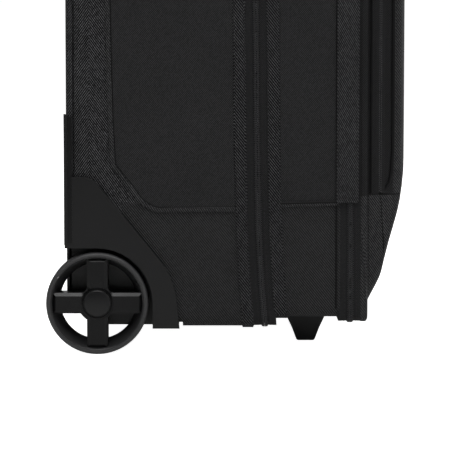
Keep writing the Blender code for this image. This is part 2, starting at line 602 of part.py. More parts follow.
# ---- Front section -----------------------------------------------------------------------
def build_front(group, flap_group):
    """The laptop compartment's lid, with the lower bumper, the pocket's gusset and its flap."""
    size = (MID_HALF_WIDTH, LID_BOTTOM, CASE_TOP)
    x0 = LAPTOP_SPLIT_X + ZIP_HALF + GAP
    lid = add_piece("front_shell", loft([case_ring(x0, *size), case_ring(FRONT_FLAT_X - 2.0, *size),
                                         case_ring(FRONT_FLAT_X, *size, 2.0)]), "ballistic_nylon", group)
    shade_round(lid)
    cut(lid, loft([case_ring(x, *size, WALL) for x in (x0 - 5.0, FRONT_FLAT_X - 3.0)]), "lid_hollow")

    start = FRONT_FLAT_X + GAP
    profile = [(start, 180.0, 42.0, 404.0), (106.0, 179.5, 52.0, 403.0), (113.0, 178.5, 66.0, 401.0),
               (119.0, 177.5, 87.0, 398.0), (125.0, 173.5, 112.0, 392.0), (129.5, 166.0, 134.0, 384.0),
               (132.7, 152.0, 158.0, 372.0), (134.4, 128.0, 190.0, 352.0), (FRONT_X, 90.0, 225.0, 320.0)]
    rings = [pocket_ring(*row) for row in profile]
    inner = [pocket_ring(x - 2.6, y - 3.0, low + 4.0, high - 3.5) for x, y, low, high in profile[1:]]
    inner.insert(0, pocket_ring(start - 5.0, 177.0, 50.0, 400.5))
    bumper = add_piece("front_bumper", loft(rings), "ballistic_nylon", group)
    cut(bumper, loft(inner), "bumper_hollow")
    cut(bumper, box((90.0, 150.0), (-200.0, 200.0), (FLAP_SEAM_Z - GAP, 450.0)), "bumper_top")
    gusset = add_piece("pocket_gusset", loft([pocket_ring(*row) for row in profile]), "smooth_nylon", group)
    cut(gusset, loft([[p.copy() for p in ring] for ring in inner]), "gusset_hollow")
    cut(gusset, box((90.0, 150.0), (-200.0, 200.0), (0.0, FLAP_SEAM_Z)), "gusset_bottom")
    cut(gusset, box((FLAP_ZIP_X - GAP, 160.0), (-210.0, 210.0), (FLAP_SEAM_Z - 20.0, 460.0)), "gusset_front")
    flap = add_piece("pocket_flap", loft([pocket_ring(*row) for row in profile]), "smooth_nylon", flap_group)
    cut(flap, loft([[p.copy() for p in ring] for ring in inner]), "flap_hollow")
    cut(flap, box((90.0, 150.0), (-200.0, 200.0), (0.0, FLAP_SEAM_Z + GAP)), "flap_bottom")
    cut(flap, box((80.0, FLAP_ZIP_X), (-210.0, 210.0), (FLAP_SEAM_Z - 20.0, 460.0)), "flap_back")
    for piece in (bumper, gusset, flap):
        shade_round(piece)


def pocket_ring(x, half_width, low, high):
    """One ring of the front pocket: a rounded rectangle across X."""
    corners = [(-half_width, low, 30.0), (half_width, low, 30.0), (half_width, high, 30.0), (-half_width, high, 30.0)]
    return [Vector((x, p.x, p.y)) for p in outline(corners, 4)]


def build_zip_cover(name, side, group):
    """The strap that lies over the laptop zip on one side of the case."""
    y = span(side, MID_HALF_WIDTH + GAP, MID_HALF_WIDTH + 2.3)
    add_piece(f"zip_cover_{name}", box((77.6, 94.4), y, (111.0, 372.0)), "webbing", group)


# ---- Zip sliders -------------------------------------------------------------------------
def build_slider(name, x, side, top, parent=None):
    """A zip slider on the case's top with its pull, each on its own axis. It slides away from the middle."""
    run = add_group(f"{name}_run", x, side * 9.0, top)
    body = box((x - 4.5, x + 4.5), span(side, 2.5, 15.5), (top + GAP, top + 3.2))
    join(round_off(add_piece(f"{name}_slider", body, "gunmetal", run), 0.8, 1),
         box((x - 1.2, x + 1.2), span(side, 5.0, 14.0), (top + 2.8, top + 5.0)), f"{name}_bridge")
    hinge = add_group(f"{name}_hinge", x, side * 17.0, top + 2.2)
    leaf = [(x - 3.2, side * 16.0), (x + 3.2, side * 16.0), (x + 3.8, side * 42.0), (x + 2.0, side * 45.0),
            (x - 2.0, side * 45.0), (x - 3.8, side * 42.0)]
    add_piece(f"{name}_pull", prism(leaf, Z, top + 1.2, top + 3.0), "gunmetal", hinge)


def main():
    """Builds the whole case."""
    for old in list(bpy.data.objects):
        bpy.data.objects.remove(old)
    lid = add_group("rear_lid_hinge", REAR_SPLIT_X, 0.0, REAR_BOTTOM - 0.3)
    laptop_lid = add_group("laptop_lid_hinge", LAPTOP_SPLIT_X, 0.0, LID_BOTTOM - 0.3)
    flap = add_group("pocket_flap_hinge", 126.2, 0.0, FLAP_SEAM_Z)

    build_rear_compartment()
    build_base_tray()
    for name, side in SIDES.items():
        build_housing(name, side)
        build_wheel(name, side)
    build_handle()
    build_carry_handle()

    build_laptop_compartment(lid)
    build_feet(lid)
    build_front(laptop_lid, flap)
    build_band("rear_band", 2.6, 11.1, REAR_HALF_WIDTH, REAR_BOTTOM)
    build_zip_half("rear_zip_back", REAR_SPLIT_X - ZIP_HALF, REAR_SPLIT_X - GAP / 2, REAR_HALF_WIDTH, REAR_BOTTOM)
    build_zip_half("rear_zip_front", REAR_SPLIT_X + GAP / 2, REAR_SPLIT_X + ZIP_HALF, REAR_HALF_WIDTH,
                   REAR_BOTTOM, lid)
    build_zip_half("laptop_zip_back", LAPTOP_SPLIT_X - ZIP_HALF, LAPTOP_SPLIT_X - GAP / 2, MID_HALF_WIDTH,
                   LID_BOTTOM, lid)
    build_zip_half("laptop_zip_front", LAPTOP_SPLIT_X + GAP / 2, LAPTOP_SPLIT_X + ZIP_HALF, MID_HALF_WIDTH,
                   LID_BOTTOM, laptop_lid)
    for name, side in SIDES.items():
        build_zip_cover(name, side, lid)
        build_slider(f"rear_zip_{name}", REAR_SPLIT_X, side, CASE_TOP)
    build_slider("laptop_zip", LAPTOP_SPLIT_X, 1, CASE_TOP)
    build_slider("pocket_zip", FLAP_ZIP_X, 1, POCKET_TOP)


main()
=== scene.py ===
"""The looks of a two-wheel rolling laptop case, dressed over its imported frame.

+X is the front with the pockets, +Y the case's right-hand side and +Z up. "left" is the -Y side.
Lengths are in millimetres, and `place` brings each finished mesh to metres once.
"""

from __future__ import annotations

import json
import logging
import math
from dataclasses import dataclass
from enum import Enum
from typing import Callable

import bmesh
import bpy
from mathutils import Matrix, Vector

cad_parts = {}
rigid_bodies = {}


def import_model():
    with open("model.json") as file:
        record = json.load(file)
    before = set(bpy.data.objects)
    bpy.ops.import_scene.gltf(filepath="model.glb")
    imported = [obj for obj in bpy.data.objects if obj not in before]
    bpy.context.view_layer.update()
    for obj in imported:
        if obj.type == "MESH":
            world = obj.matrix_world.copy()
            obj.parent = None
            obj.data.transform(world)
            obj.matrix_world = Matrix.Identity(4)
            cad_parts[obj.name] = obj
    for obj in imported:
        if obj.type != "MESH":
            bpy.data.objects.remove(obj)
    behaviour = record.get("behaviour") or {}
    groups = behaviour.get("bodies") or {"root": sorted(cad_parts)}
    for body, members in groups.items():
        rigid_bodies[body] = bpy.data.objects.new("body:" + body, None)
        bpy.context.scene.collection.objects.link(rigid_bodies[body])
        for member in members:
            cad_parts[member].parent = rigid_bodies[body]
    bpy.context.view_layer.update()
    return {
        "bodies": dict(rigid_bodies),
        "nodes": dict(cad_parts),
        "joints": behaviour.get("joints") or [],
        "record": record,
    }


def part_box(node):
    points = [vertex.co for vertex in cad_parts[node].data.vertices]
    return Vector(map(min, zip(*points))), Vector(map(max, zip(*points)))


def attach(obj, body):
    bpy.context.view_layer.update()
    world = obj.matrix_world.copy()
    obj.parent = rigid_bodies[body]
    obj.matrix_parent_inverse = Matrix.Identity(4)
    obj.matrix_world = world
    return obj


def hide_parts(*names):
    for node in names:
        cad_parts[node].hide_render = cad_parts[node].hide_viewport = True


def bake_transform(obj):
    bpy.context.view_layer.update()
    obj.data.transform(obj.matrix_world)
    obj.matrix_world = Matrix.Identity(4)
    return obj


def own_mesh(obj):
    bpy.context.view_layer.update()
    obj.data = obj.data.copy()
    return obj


LOG = logging.getLogger("laptop_case")
MM = 0.001
Section = list[tuple[float, float]]
Path = list[Vector]


class Body(Enum):
    """The moving bodies that new pieces ride on."""

    REAR = "rear_case"
    LID = "main_lid"
    LAPTOP = "laptop_lid"
    FLAP = "pocket_flap"
    CARRY = "carry_handle"


class Side(Enum):
    """The two sides of the case."""

    LEFT = -1
    RIGHT = 1

    @property
    def word(self) -> str:
        """The side's name in lower case, as node names have it."""
        return self.name.lower()


# ---- Node and colour helpers ---------------------------------------------------------------
def colour(code: str) -> tuple[float, float, float, float]:
    """Turns an sRGB hex code to the linear colour that a shader takes.

    Args:
        code: six hex digits, such as "2a2a2b".

    Returns:
        Linear red, green, blue and an alpha of 1.
    """
    parts = [int(code[i : i + 2], 16) / 255 for i in (0, 2, 4)]
    linear = [c / 12.92 if c <= 0.04045 else ((c + 0.055) / 1.055) ** 2.4 for c in parts]
    return (*linear, 1.0)


def add_node(tree: bpy.types.NodeTree, kind: str, inputs: dict | None = None, **settings) -> bpy.types.Node:
    """Adds a node with its settings, values and links.

    Args:
        tree: the node tree that takes it.
        kind: the node's type name.
        inputs: a value or an output socket for each input, by name or number.
        **settings: properties of the node itself.

    Returns:
        The new node.
    """
    node = tree.nodes.new(kind)
    for key, value in settings.items():
        setattr(node, key, value)
    for key, value in (inputs or {}).items():
        if isinstance(value, bpy.types.NodeSocket):
            tree.links.new(value, node.inputs[key])
        else:
            node.inputs[key].default_value = value
    return node


def reckon(tree: bpy.types.NodeTree, operation: str, *values) -> bpy.types.NodeSocket:
    """One Math node's result, from numbers or sockets in order."""
    return add_node(tree, "ShaderNodeMath", dict(enumerate(values)), operation=operation).outputs[0]


def blank(name: str) -> tuple[bpy.types.Material, bpy.types.NodeTree, bpy.types.Node]:
    """A new material, its tree and its Principled shader."""
    made = bpy.data.materials.new(name)
    made.use_nodes = True
    return made, made.node_tree, made.node_tree.nodes["Principled BSDF"]


# ---- Finishes ------------------------------------------------------------------------------
@dataclass(frozen=True)
class Weave:
    """A woven synthetic cloth, whose floats lie on a lattice of dots.

    The lattice follows the surface: along X and Z on the sides, Y and Z on the back and front,
    X and Y on top. The floats' bright colour is partly the weave's own and partly painted highlight,
    the near-black between them partly painted shade, and each float gets a random painted glint.
    """

    name: str
    slot: str
    thread: str
    gap: str
    across: float
    along: float
    lean: float = 0.0
    herringbone: float = 0.0
    crispness: float = 2.0
    relief: float = 0.16
    roughness: float = 0.72
    specular: float = 0.15
    scatter: float = 0.9
    chevron: float = 0.0

    def build(self) -> bpy.types.Material:
        """Makes the cloth's material.

        Returns:
            The material.
        """
        made, tree, shader = blank(self.name)
        coordinate = add_node(tree, "ShaderNodeTexCoord")
        place = add_node(tree, "ShaderNodeSeparateXYZ", {0: coordinate.outputs["Object"]})
        facing = add_node(tree, "ShaderNodeSeparateXYZ", {0: coordinate.outputs["Normal"]})
        x, y, z = (place.outputs[i] for i in range(3))
        nx, ny, nz = (reckon(tree, "ABSOLUTE", facing.outputs[i]) for i in range(3))
        faces_back = reckon(tree, "GREATER_THAN", nx, reckon(tree, "MAXIMUM", ny, nz))
        faces_up = reckon(tree, "GREATER_THAN", nz, reckon(tree, "MAXIMUM", nx, ny))
        u = add_node(tree, "ShaderNodeMix", {"Factor": faces_back, 2: x, 3: y}, data_type="FLOAT").outputs[0]
        v = add_node(tree, "ShaderNodeMix", {"Factor": faces_up, 2: z, 3: y}, data_type="FLOAT").outputs[0]
        turn_u = reckon(tree, "MULTIPLY", u, math.tau / (self.across * MM))
        turn_v = reckon(tree, "MULTIPLY", v, math.tau / (self.along * MM))
        falling = reckon(tree, "COSINE", reckon(tree, "ADD", turn_u, turn_v))
        rising = reckon(tree, "COSINE", reckon(tree, "SUBTRACT", turn_u, turn_v))
        patches = add_node(tree, "ShaderNodeTexNoise", {"Vector": coordinate.outputs["Object"], "Scale": 38.0,
                                                       "Detail": 1.0})
        swing = reckon(tree, "MULTIPLY", reckon(tree, "SUBTRACT", patches.outputs[0], 0.5),
                       self.herringbone * 5)
        lean = reckon(tree, "ADD", swing, self.lean)
        if self.chevron:
            behind = reckon(tree, "LESS_THAN", x, self.chevron * MM)
            lean = reckon(tree, "MULTIPLY_ADD", behind, -2.0 * self.lean, lean)
        lean = reckon(tree, "MINIMUM", reckon(tree, "MAXIMUM", lean, -1.0), 1.0)
        down = reckon(tree, "MULTIPLY", falling, reckon(tree, "ADD", 1.0, lean))
        up = reckon(tree, "MULTIPLY", rising, reckon(tree, "SUBTRACT", 1.0, lean))
        dots = reckon(tree, "MULTIPLY_ADD", reckon(tree, "ADD", down, up), 0.25, 0.5)
        height = reckon(tree, "POWER", reckon(tree, "MAXIMUM", dots, 0.0), self.crispness)
        row = reckon(tree, "ROUND",
                     reckon(tree, "MULTIPLY", reckon(tree, "ADD", turn_u, turn_v), 1 / math.tau))
        column = reckon(tree, "ROUND", reckon(tree, "MULTIPLY", reckon(tree, "SUBTRACT", turn_u, turn_v),
                                              1 / math.tau))
        cell = add_node(tree, "ShaderNodeCombineXYZ", {0: row, 1: column})
        # Painted glint: a random brightness for each float stands in for its specular glint.
        chance = add_node(tree, "ShaderNodeTexWhiteNoise", {"Vector": cell.outputs[0]}, noise_dimensions="2D")
        painted_glint = reckon(tree, "MULTIPLY_ADD", chance.outputs["Value"], self.scatter, 1.0 - self.scatter * 0.5)
        lit = reckon(tree, "MULTIPLY", height, painted_glint)
        fibre = add_node(tree, "ShaderNodeTexNoise", {"Vector": coordinate.outputs["Object"], "Scale": 900.0,
                                                     "Detail": 2.0})
        broad = add_node(tree, "ShaderNodeTexNoise", {"Vector": coordinate.outputs["Object"], "Scale": 22.0,
                                                     "Detail": 3.0})
        varied = reckon(tree, "MULTIPLY_ADD", reckon(tree, "SUBTRACT", fibre.outputs[0], 0.5), 0.4, lit)
        # Painted highlight and shade: floats mix towards the bright thread colour, gaps towards the
        # near-black one.
        tint = add_node(tree, "ShaderNodeMix",
                        {"Factor": varied, 6: colour(self.gap), 7: colour(self.thread)},
                        data_type="RGBA")
        shade = reckon(tree, "MULTIPLY_ADD", broad.outputs[0], 0.3, 0.85)
        toned = add_node(tree, "ShaderNodeVectorMath", {0: tint.outputs[2], 1: shade}, operation="MULTIPLY")
        tree.links.new(toned.outputs[0], shader.inputs["Base Color"])
        bump = add_node(tree, "ShaderNodeBump",
                        {"Strength": 1.0, "Distance": self.relief * MM, "Height": height})
        tree.links.new(bump.outputs[0], shader.inputs["Normal"])
        rough = reckon(tree, "MULTIPLY_ADD", fibre.outputs[0], 0.2, self.roughness - 0.1)
        tree.links.new(rough, shader.inputs["Roughness"])
        shader.inputs["Specular IOR Level"].default_value = self.specular
        return made


@dataclass(frozen=True)
class Moulded:
    """A moulded plastic or rubber with a fine grain, a little paler where handling has polished it."""

    name: str
    slot: str
    base: str
    worn: str
    grain: float
    relief: float
    roughness: float
    specular: float = 0.5
    coat: float = 0.0

    def build(self) -> bpy.types.Material:
        """Makes the moulded material.

        Returns:
            The material.
        """
        made, tree, shader = blank(self.name)
        coordinate = add_node(tree, "ShaderNodeTexCoord")
        grain = add_node(tree, "ShaderNodeTexNoise", {"Vector": coordinate.outputs["Object"],
                                                     "Scale": 1 / (self.grain * MM), "Detail": 2.0})
        cloud = add_node(tree, "ShaderNodeTexNoise", {"Vector": coordinate.outputs["Object"], "Scale": 30.0,
                                                     "Detail": 4.0, "Roughness": 0.6})
        mix = reckon(tree, "MULTIPLY_ADD", grain.outputs[0], 0.35,
                     reckon(tree, "MULTIPLY", cloud.outputs[0], 0.6))
        tint = add_node(tree, "ShaderNodeMix", {"Factor": mix, 6: colour(self.base), 7: colour(self.worn)},
                        data_type="RGBA")
        tree.links.new(tint.outputs[2], shader.inputs["Base Color"])
        rough = reckon(tree, "MULTIPLY_ADD", cloud.outputs[0], 0.24, self.roughness - 0.12)
        tree.links.new(rough, shader.inputs["Roughness"])
        bump = add_node(tree, "ShaderNodeBump", {"Strength": 1.0, "Distance": self.relief * MM,
                                                "Height": grain.outputs[0]})
        tree.links.new(bump.outputs[0], shader.inputs["Normal"])
        shader.inputs["Specular IOR Level"].default_value = self.specular
        if self.coat:
            shader.inputs["Coat Weight"].default_value = self.coat
            shader.inputs["Coat Roughness"].default_value = 0.25
        return made


@dataclass(frozen=True)
class Metal:
    """A metal with fine drawn lines along one axis."""

    name: str
    slot: str
    base: str
    roughness: float
    stretch: tuple[float, float, float] = (1.0, 1.0, 0.03)
    line: float = 0.4

    def build(self) -> bpy.types.Material:
        """Makes the metal's material.

        Returns:
            The material.
        """
        made, tree, shader = blank(self.name)
        coordinate = add_node(tree, "ShaderNodeTexCoord")
        drawn = add_node(tree, "ShaderNodeMapping",
                         {"Vector": coordinate.outputs["Object"], "Scale": self.stretch})
        lines = add_node(tree, "ShaderNodeTexNoise",
                         {"Vector": drawn.outputs[0], "Scale": 1 / (self.line * MM),
                                                     "Detail": 3.0})
        shade = reckon(tree, "MULTIPLY_ADD", lines.outputs[0], 0.5, 0.75)
        toned = add_node(tree, "ShaderNodeVectorMath", {0: colour(self.base)[:3], 1: shade},
                         operation="MULTIPLY")
        tree.links.new(toned.outputs[0], shader.inputs["Base Color"])
        rough = reckon(tree, "MULTIPLY_ADD", lines.outputs[0], 0.2, self.roughness - 0.1)
        tree.links.new(rough, shader.inputs["Roughness"])
        shader.inputs["Metallic"].default_value = 1.0
        return made


# Heavy basket-woven nylon, its floats on a diamond lattice painted bright as highlights, coarse enough for
# painted glints.
BALLISTIC = Weave("ballistic nylon", "ballistic_nylon", "6f6f71", "010102", 1.70, 2.36, lean=0.6,
                  herringbone=0.2,
                  chevron=-103.0, crispness=3.4, scatter=0.8, relief=0.22, specular=0.1)
# The same cloth where it is cut on the other grain under the zips: a quieter falling twill.
BALLISTIC_LOW = Weave("ballistic nylon panel", "ballistic_nylon", "444445", "0c0c0d", 1.84, 2.28, lean=0.8,
                      herringbone=0.3, scatter=0.4, crispness=1.6)
# A heavier ballistic cloth on the pockets, between the other two.
BALLISTIC_FRONT = Weave("ballistic nylon front", "ballistic_nylon", "545455", "08080a", 1.70, 2.36, lean=0.8,
                        herringbone=0.3, scatter=0.7, crispness=2.0)
# Close plain-woven nylon, almost even in tone.
SMOOTH = Weave("plain nylon", "smooth_nylon", "3c3c3d", "0b0b0c", 1.49, 1.72, lean=-0.8, relief=0.06,
               roughness=0.66, crispness=1.2, scatter=0.45)
# The same plain nylon, darkened as painted shade where it lies recessed, on the pocket's walls.
PLAIN_NYLON_PAINTED_SHADE = Weave("dark plain nylon", "smooth_nylon", "303031", "09090a", 1.49, 1.72, lean=-0.8,
                    relief=0.05,
                    roughness=0.68, crispness=1.2, scatter=0.35)
# Nylon webbing, a steep falling twill.
WEBBING = Weave("nylon webbing", "webbing", "5a5a5c", "020203", 1.89, 2.4, lean=0.8, roughness=0.66,
                crispness=3.2, scatter=0.65, relief=0.2, specular=0.1)
# Wider webbing of the straps, a little paler.
STRAP = Weave("strap webbing", "webbing", "565658", "050506", 1.52, 2.64, lean=0.8, roughness=0.66,
              crispness=2.4, scatter=0.8)
# Zip tape, a fine herringbone of thin polyester.
TAPE = Weave("zip tape", "zip_coil", "303031", "0e0e0f", 1.5, 1.5, lean=0.0, relief=0.05, crispness=1.0,
             scatter=0.4)
# Thin lining cloth with a soft satin glint.
LINING = Weave("lining nylon", "smooth_nylon", "3c3d40", "2a2b2d", 1.2, 1.2, relief=0.03, roughness=0.55,
               crispness=1.0, scatter=0.2, specular=0.35)
# Bonded polyester sewing thread: round, slightly glossy.
THREAD = Moulded("sewing thread", "webbing", "161617", "262627", 0.3, 0.02, 0.6, specular=0.25)
# Nylon monofilament, wound to a coil and pressed: glossy small teeth.
COIL = Moulded("nylon coil", "zip_coil", "101011", "2c2c2e", 0.4, 0.01, 0.35)
# The coil's pressed heads, a paler copy of the coil's nylon that paints their highlights.
COIL_HEAD_HIGHLIGHT = Moulded("polished nylon coil", "zip_coil", "3a3a3c", "5e5e60", 0.4, 0.01, 0.28)
# Vinyl piping over a cord: smooth with a soft highlight.
PIPING = Moulded("vinyl piping", "smooth_nylon", "060607", "0c0c0d", 0.5, 0.01, 0.5, specular=0.2)
# Injection-moulded ABS with a fine spark-eroded texture.
GUARD = Moulded("textured moulded plastic", "guard_plastic", "0d0d0e", "161617", 0.55, 0.03, 0.38,
                specular=0.38)
# Glass-filled nylon of the wheel hubs, dark and slightly glossier.
HUB = Moulded("moulded hub plastic", "hub_plastic", "050506", "09090a", 0.6, 0.02, 0.3, specular=0.3)
# Moulded polyurethane tyre, matt and a little paler from scuffing.
RUBBER = Moulded("tyre rubber", "wheel_rubber", "2c2c2d", "404041", 0.7, 0.03, 0.5)
# The wheel's dished rim, paler than its spokes; the paler tone partly paints the light falling on its cone.
RIM = Moulded("moulded rim plastic", "hub_plastic", "262627", "383839", 0.6, 0.02, 0.36, specular=0.5)
# Soft rubber of the front feet.
FOOT = Moulded("foot rubber", "hub_plastic", "1d1d1e", "29292a", 0.6, 0.02, 0.5)
# Polypropylene sheet behind the tubes.
BOARD = Moulded("board", "board", "39393a", "454546", 0.8, 0.02, 0.6)
# Drawn and anodised aluminium tube: dark grey, fine lines along its length.
ALUMINIUM = Metal("anodised aluminium", "anodised_aluminium", "6c6d70", 0.34)
# Zinc-plated steel of screws, axles and springs.
STEEL = Metal("plated steel", "steel", "b4b5b8", 0.3, stretch=(1.0, 1.0, 1.0))
# Die-cast zinc with a dark plating, on sliders and pulls.
GUNMETAL = Metal("gunmetal plate", "gunmetal", "56575b", 0.3, stretch=(1.0, 0.1, 1.0))

_made: dict[str, bpy.types.Material] = {}


def material(finish: Weave | Moulded | Metal) -> bpy.types.Material:
    """The finish's material, made the first time that it is asked for."""
    if finish.name not in _made:
        _made[finish.name] = finish.build()
    return _made[finish.name]


# ---- Outlines and paths --------------------------------------------------------------------
def outline(corners: list[tuple], steps: int = 8) -> list[Vector]:
    """Points along an outline whose corners are (a, b) or (a, b, radius), a radius giving an arc.

    Args:
        corners: the corners in order.
        steps: how many chords an arc has.

    Returns:
        Two-dimensional points.
    """
    points = []
    for i, corner in enumerate(corners):
        here = Vector(corner[:2])
        radius = corner[2] if len(corner) > 2 else 0.0
        if radius <= 0.0:
            points.append(here)
            continue
        back = (Vector(corners[i - 1][:2]) - here).normalized()
        ahead = (Vector(corners[(i + 1) % len(corners)][:2]) - here).normalized()
        half = back.angle(ahead) / 2
        centre = here + (back + ahead).normalized() * (radius / math.sin(half))
        start = here + back * (radius / math.tan(half)) - centre
        turn = start.angle_signed(here + ahead * (radius / math.tan(half)) - centre)
        for step in range(steps + 1):
            points.append(centre + Matrix.Rotation(-turn * step / steps, 2) @ start)
    return points


def spaced(points: list[Vector], gap: float, closed: bool = False) -> list[Vector]:
    """Adds points on the long straights of a line, so that none is longer than the gap.

    Args:
        points: the line's points.
        gap: the longest stretch that may stay.
        closed: whether the line joins its start.

    Returns:
        The line with its new points.
    """
    result = []
    count = len(points)
    for i, here in enumerate(points):
        result.append(here)
        if i + 1 == count and not closed:
            break
        ahead = points[(i + 1) % count]
        parts = max(1, math.ceil((ahead - here).length / gap))
        result.extend(here.lerp(ahead, k / parts) for k in range(1, parts))
    return result


def along_x(x: float, points: list[Vector]) -> Path:
    """Puts (y, z) points at a place along X."""
    return [Vector((x, p.x, p.y)) for p in points]


def on_side(side: Side, out: float, points: list[Vector]) -> Path:
    """Puts (x, z) points on one side of the case, at a distance from the middle."""
    return [Vector((p.x, side.value * out, p.y)) for p in points]


def rounded(width: float, height: float, radius: float, steps: int = 3) -> Section:
    """A section centred on zero across and standing on zero, with its upper corners rounded."""
    a = width / 2
    return [tuple(p) for p in outline([(-a, 0.0), (a, 0.0), (a, height, radius), (-a, height, radius)],
                                      steps)]


def circle(radius: float, count: int = 8, lift: float = 0.0) -> Section:
    """A round section with its centre at a lift above the surface."""
    return [(radius * math.cos(math.tau * k / count), lift + radius * math.sin(math.tau * k / count))
            for k in range(count)]


# ---- Mesh makers ---------------------------------------------------------------------------
def skin(rings: list[Path], caps: bool = True, looped: bool = False) -> bmesh.types.BMesh:
    """Bridges rings of points in order.

    Args:
        rings: closed rings with equal counts.
        caps: closes the first and last ring with a face.
        looped: bridges the last ring back to the first.

    Returns:
        The surface.
    """
    shape = bmesh.new()
    loops = []
    for ring in rings:
        verts = [shape.verts.new(p) for p in ring]
        loops.append([shape.edges.new((verts[i - 1], verts[i])) for i in range(len(verts))])
    pairs = list(zip(loops, loops[1:])) + ([(loops[-1], loops[0])] if looped else [])
    for near, far in pairs:
        bmesh.ops.bridge_loops(shape, edges=near + far)
    if caps and not looped:
        for loop in (loops[0], loops[-1]):
            bmesh.ops.contextual_create(shape, geom=loop)
    bmesh.ops.recalc_face_normals(shape, faces=shape.faces)
    return shape


def frames_on(path: Path, up: Vector | None = None, across: Vector | None = None,
              closed: bool = False) -> list[Matrix]:
    """A frame at each point of a path: X across it, Y along it and Z off the surface.

    Args:
        path: the points.
        up: the way off the surface, where it stays the same.
        across: the way across the path, where that stays the same instead.
        closed: whether the path joins its start.

    Returns:
        One frame for each point.
    """
    frames = []
    count = len(path)
    for i, spot in enumerate(path):
        before = path[i - 1] if closed or i else spot
        after = path[(i + 1) % count] if closed or i + 1 < count else spot
        along = (after - before).normalized()
        if across is not None:
            sideways, lift = across, along.cross(across)
        else:
            sideways, lift = along.cross(up), up
        frame = Matrix((sideways, along, lift)).transposed().to_4x4()
        frame.translation = spot
        frames.append(frame)
    return frames


def sweep(section: Section, path: Path, up: Vector | None = None, across: Vector | None = None,
          closed: bool = False) -> bmesh.types.BMesh:
    """Carries a closed section along a path. Either up or across is the same all the way."""
    frames = frames_on(path, up, across, closed)
    rings = [[frame @ Vector((a, 0.0, b)) for a, b in section] for frame in frames]
    return skin(rings, caps=not closed, looped=closed)


def steps_along(path: Path, pitch: float, up: Vector | None = None,
                across: Vector | None = None) -> list[Matrix]:
    """Frames at an even pitch along an open path.

    Args:
        path: the points.
        pitch: the distance between two frames.
        up: as for frames_on.
        across: as for frames_on.

    Returns:
        The frames.
    """
    frames = frames_on(path, up, across)
    result = []
    travel = pitch / 2
    for near, far in zip(frames, frames[1:]):
        length = (far.translation - near.translation).length
        while travel < length:
            result.append(near.lerp(far, travel / length))
            travel += pitch
        travel -= length
    return result


def repeat(base: bmesh.types.BMesh, frames: list[Matrix]) -> bmesh.types.BMesh:
    """One shape with a copy of the base at every frame.

    Args:
        base: the shape to copy, which is used up.
        frames: where the copies go.

    Returns:
        The copies as one shape.
    """
    pattern = bpy.data.meshes.new("pattern")
    base.to_mesh(pattern)
    base.free()
    whole = bmesh.new()
    for frame in frames:
        pattern.transform(frame)
        whole.from_mesh(pattern)
        pattern.transform(frame.inverted())
    bpy.data.meshes.remove(pattern)
    return whole


def joined(*shapes: bmesh.types.BMesh) -> bmesh.types.BMesh:
    """Several shapes as one.

    Args:
        shapes: the shapes, which are used up.

    Returns:
        The one shape.
    """
    whole = bmesh.new()
    for shape in shapes:
        scratch = bpy.data.meshes.new("scratch")
        shape.to_mesh(scratch)
        shape.free()
        whole.from_mesh(scratch)
        bpy.data.meshes.remove(scratch)
    return whole


def bead(across: float, along: float, height: float, sides: int = 6) -> bmesh.types.BMesh:
    """A small rounded bead for stitches and teeth, given by its full sizes."""
    shape = bmesh.new()
    bmesh.ops.create_uvsphere(shape, u_segments=sides, v_segments=4, radius=0.5)
    bmesh.ops.scale(shape, vec=(across, along, height), verts=shape.verts)
    return shape


def stitches(path: Path, up: Vector | None = None, across: Vector | None = None, pitch: float = 3.2,
             lift: float = 0.05) -> bmesh.types.BMesh:
    """A row of lock stitches along a path."""
    dash = bead(0.42, pitch * 0.62, 0.36)
    bmesh.ops.translate(dash, vec=(0.0, 0.0, lift), verts=dash.verts)
    return repeat(dash, steps_along(path, pitch, up, across))


def plate(corners: list[tuple], axis: int, low: float, high: float, rounding: float = 0.0,
          steps: int = 8, spacing: float = 0.0, segments: int = 2) -> bmesh.types.BMesh:
    """An outline drawn across an axis, extruded from low to high, with the edges at high rounded off.

    Args:
        corners: the outline's corners, in the X, Y, Z order of the other two axes.
        axis: 0, 1 or 2 for X, Y or Z.
        low: where the plate starts.
        high: where it ends.
        rounding: how far its far edge is bevelled.
        steps: how many chords a corner has.
        spacing: the longest straight between two points, or zero for any.
        segments: how many flats the rounding has.

    Returns:
        The closed plate.
    """
    points = outline(corners, steps)
    if spacing:
        points = spaced(points, spacing, closed=True)
    spots = []
    for p in points:
        values = [p.x, p.y]
        values.insert(axis, low)
        spots.append(Vector(values))
    shape = bmesh.new()
    base = shape.faces.new([shape.verts.new(spot) for spot in spots])
    grown = bmesh.ops.extrude_face_region(shape, geom=[base], use_keep_orig=True)
    top = [v for v in grown["geom"] if isinstance(v, bmesh.types.BMVert)]
    move = Vector()
    move[axis] = high - low
    bmesh.ops.translate(shape, vec=move, verts=top)
    if rounding:
        rim = [e for e in grown["geom"] if isinstance(e, bmesh.types.BMEdge)]
        bmesh.ops.bevel(shape, geom=rim, affect="EDGES", offset=rounding, segments=segments, profile=0.5,
                        material=-1)
    bmesh.ops.recalc_face_normals(shape, faces=shape.faces)
    return shape


def turned(profile: Section, centre: Vector, side: int, steps: int = 64) -> bmesh.types.BMesh:
    """A closed (radius, place) profile turned about a line along Y.

    Args:
        profile: its points, with places counted outwards from the centre.
        centre: the point that places start from.
        side: -1 or 1, the way outwards along Y.
        steps: how many flats a full turn has.

    Returns:
        The turned shape.
    """
    shape = bmesh.new()
    verts = [shape.verts.new(centre + Vector((0.0, side * place, radius))) for radius, place in profile]
    edges = [shape.edges.new((verts[i - 1], verts[i])) for i in range(len(verts))]
    bmesh.ops.spin(shape, geom=verts + edges, cent=centre, axis=(0.0, 1.0, 0.0), angle=math.tau, steps=steps,
                   use_merge=True)
    bmesh.ops.remove_doubles(shape, verts=shape.verts, dist=1e-3)
    bmesh.ops.dissolve_degenerate(shape, edges=shape.edges, dist=1e-3)
    bmesh.ops.recalc_face_normals(shape, faces=shape.faces)
    return shape


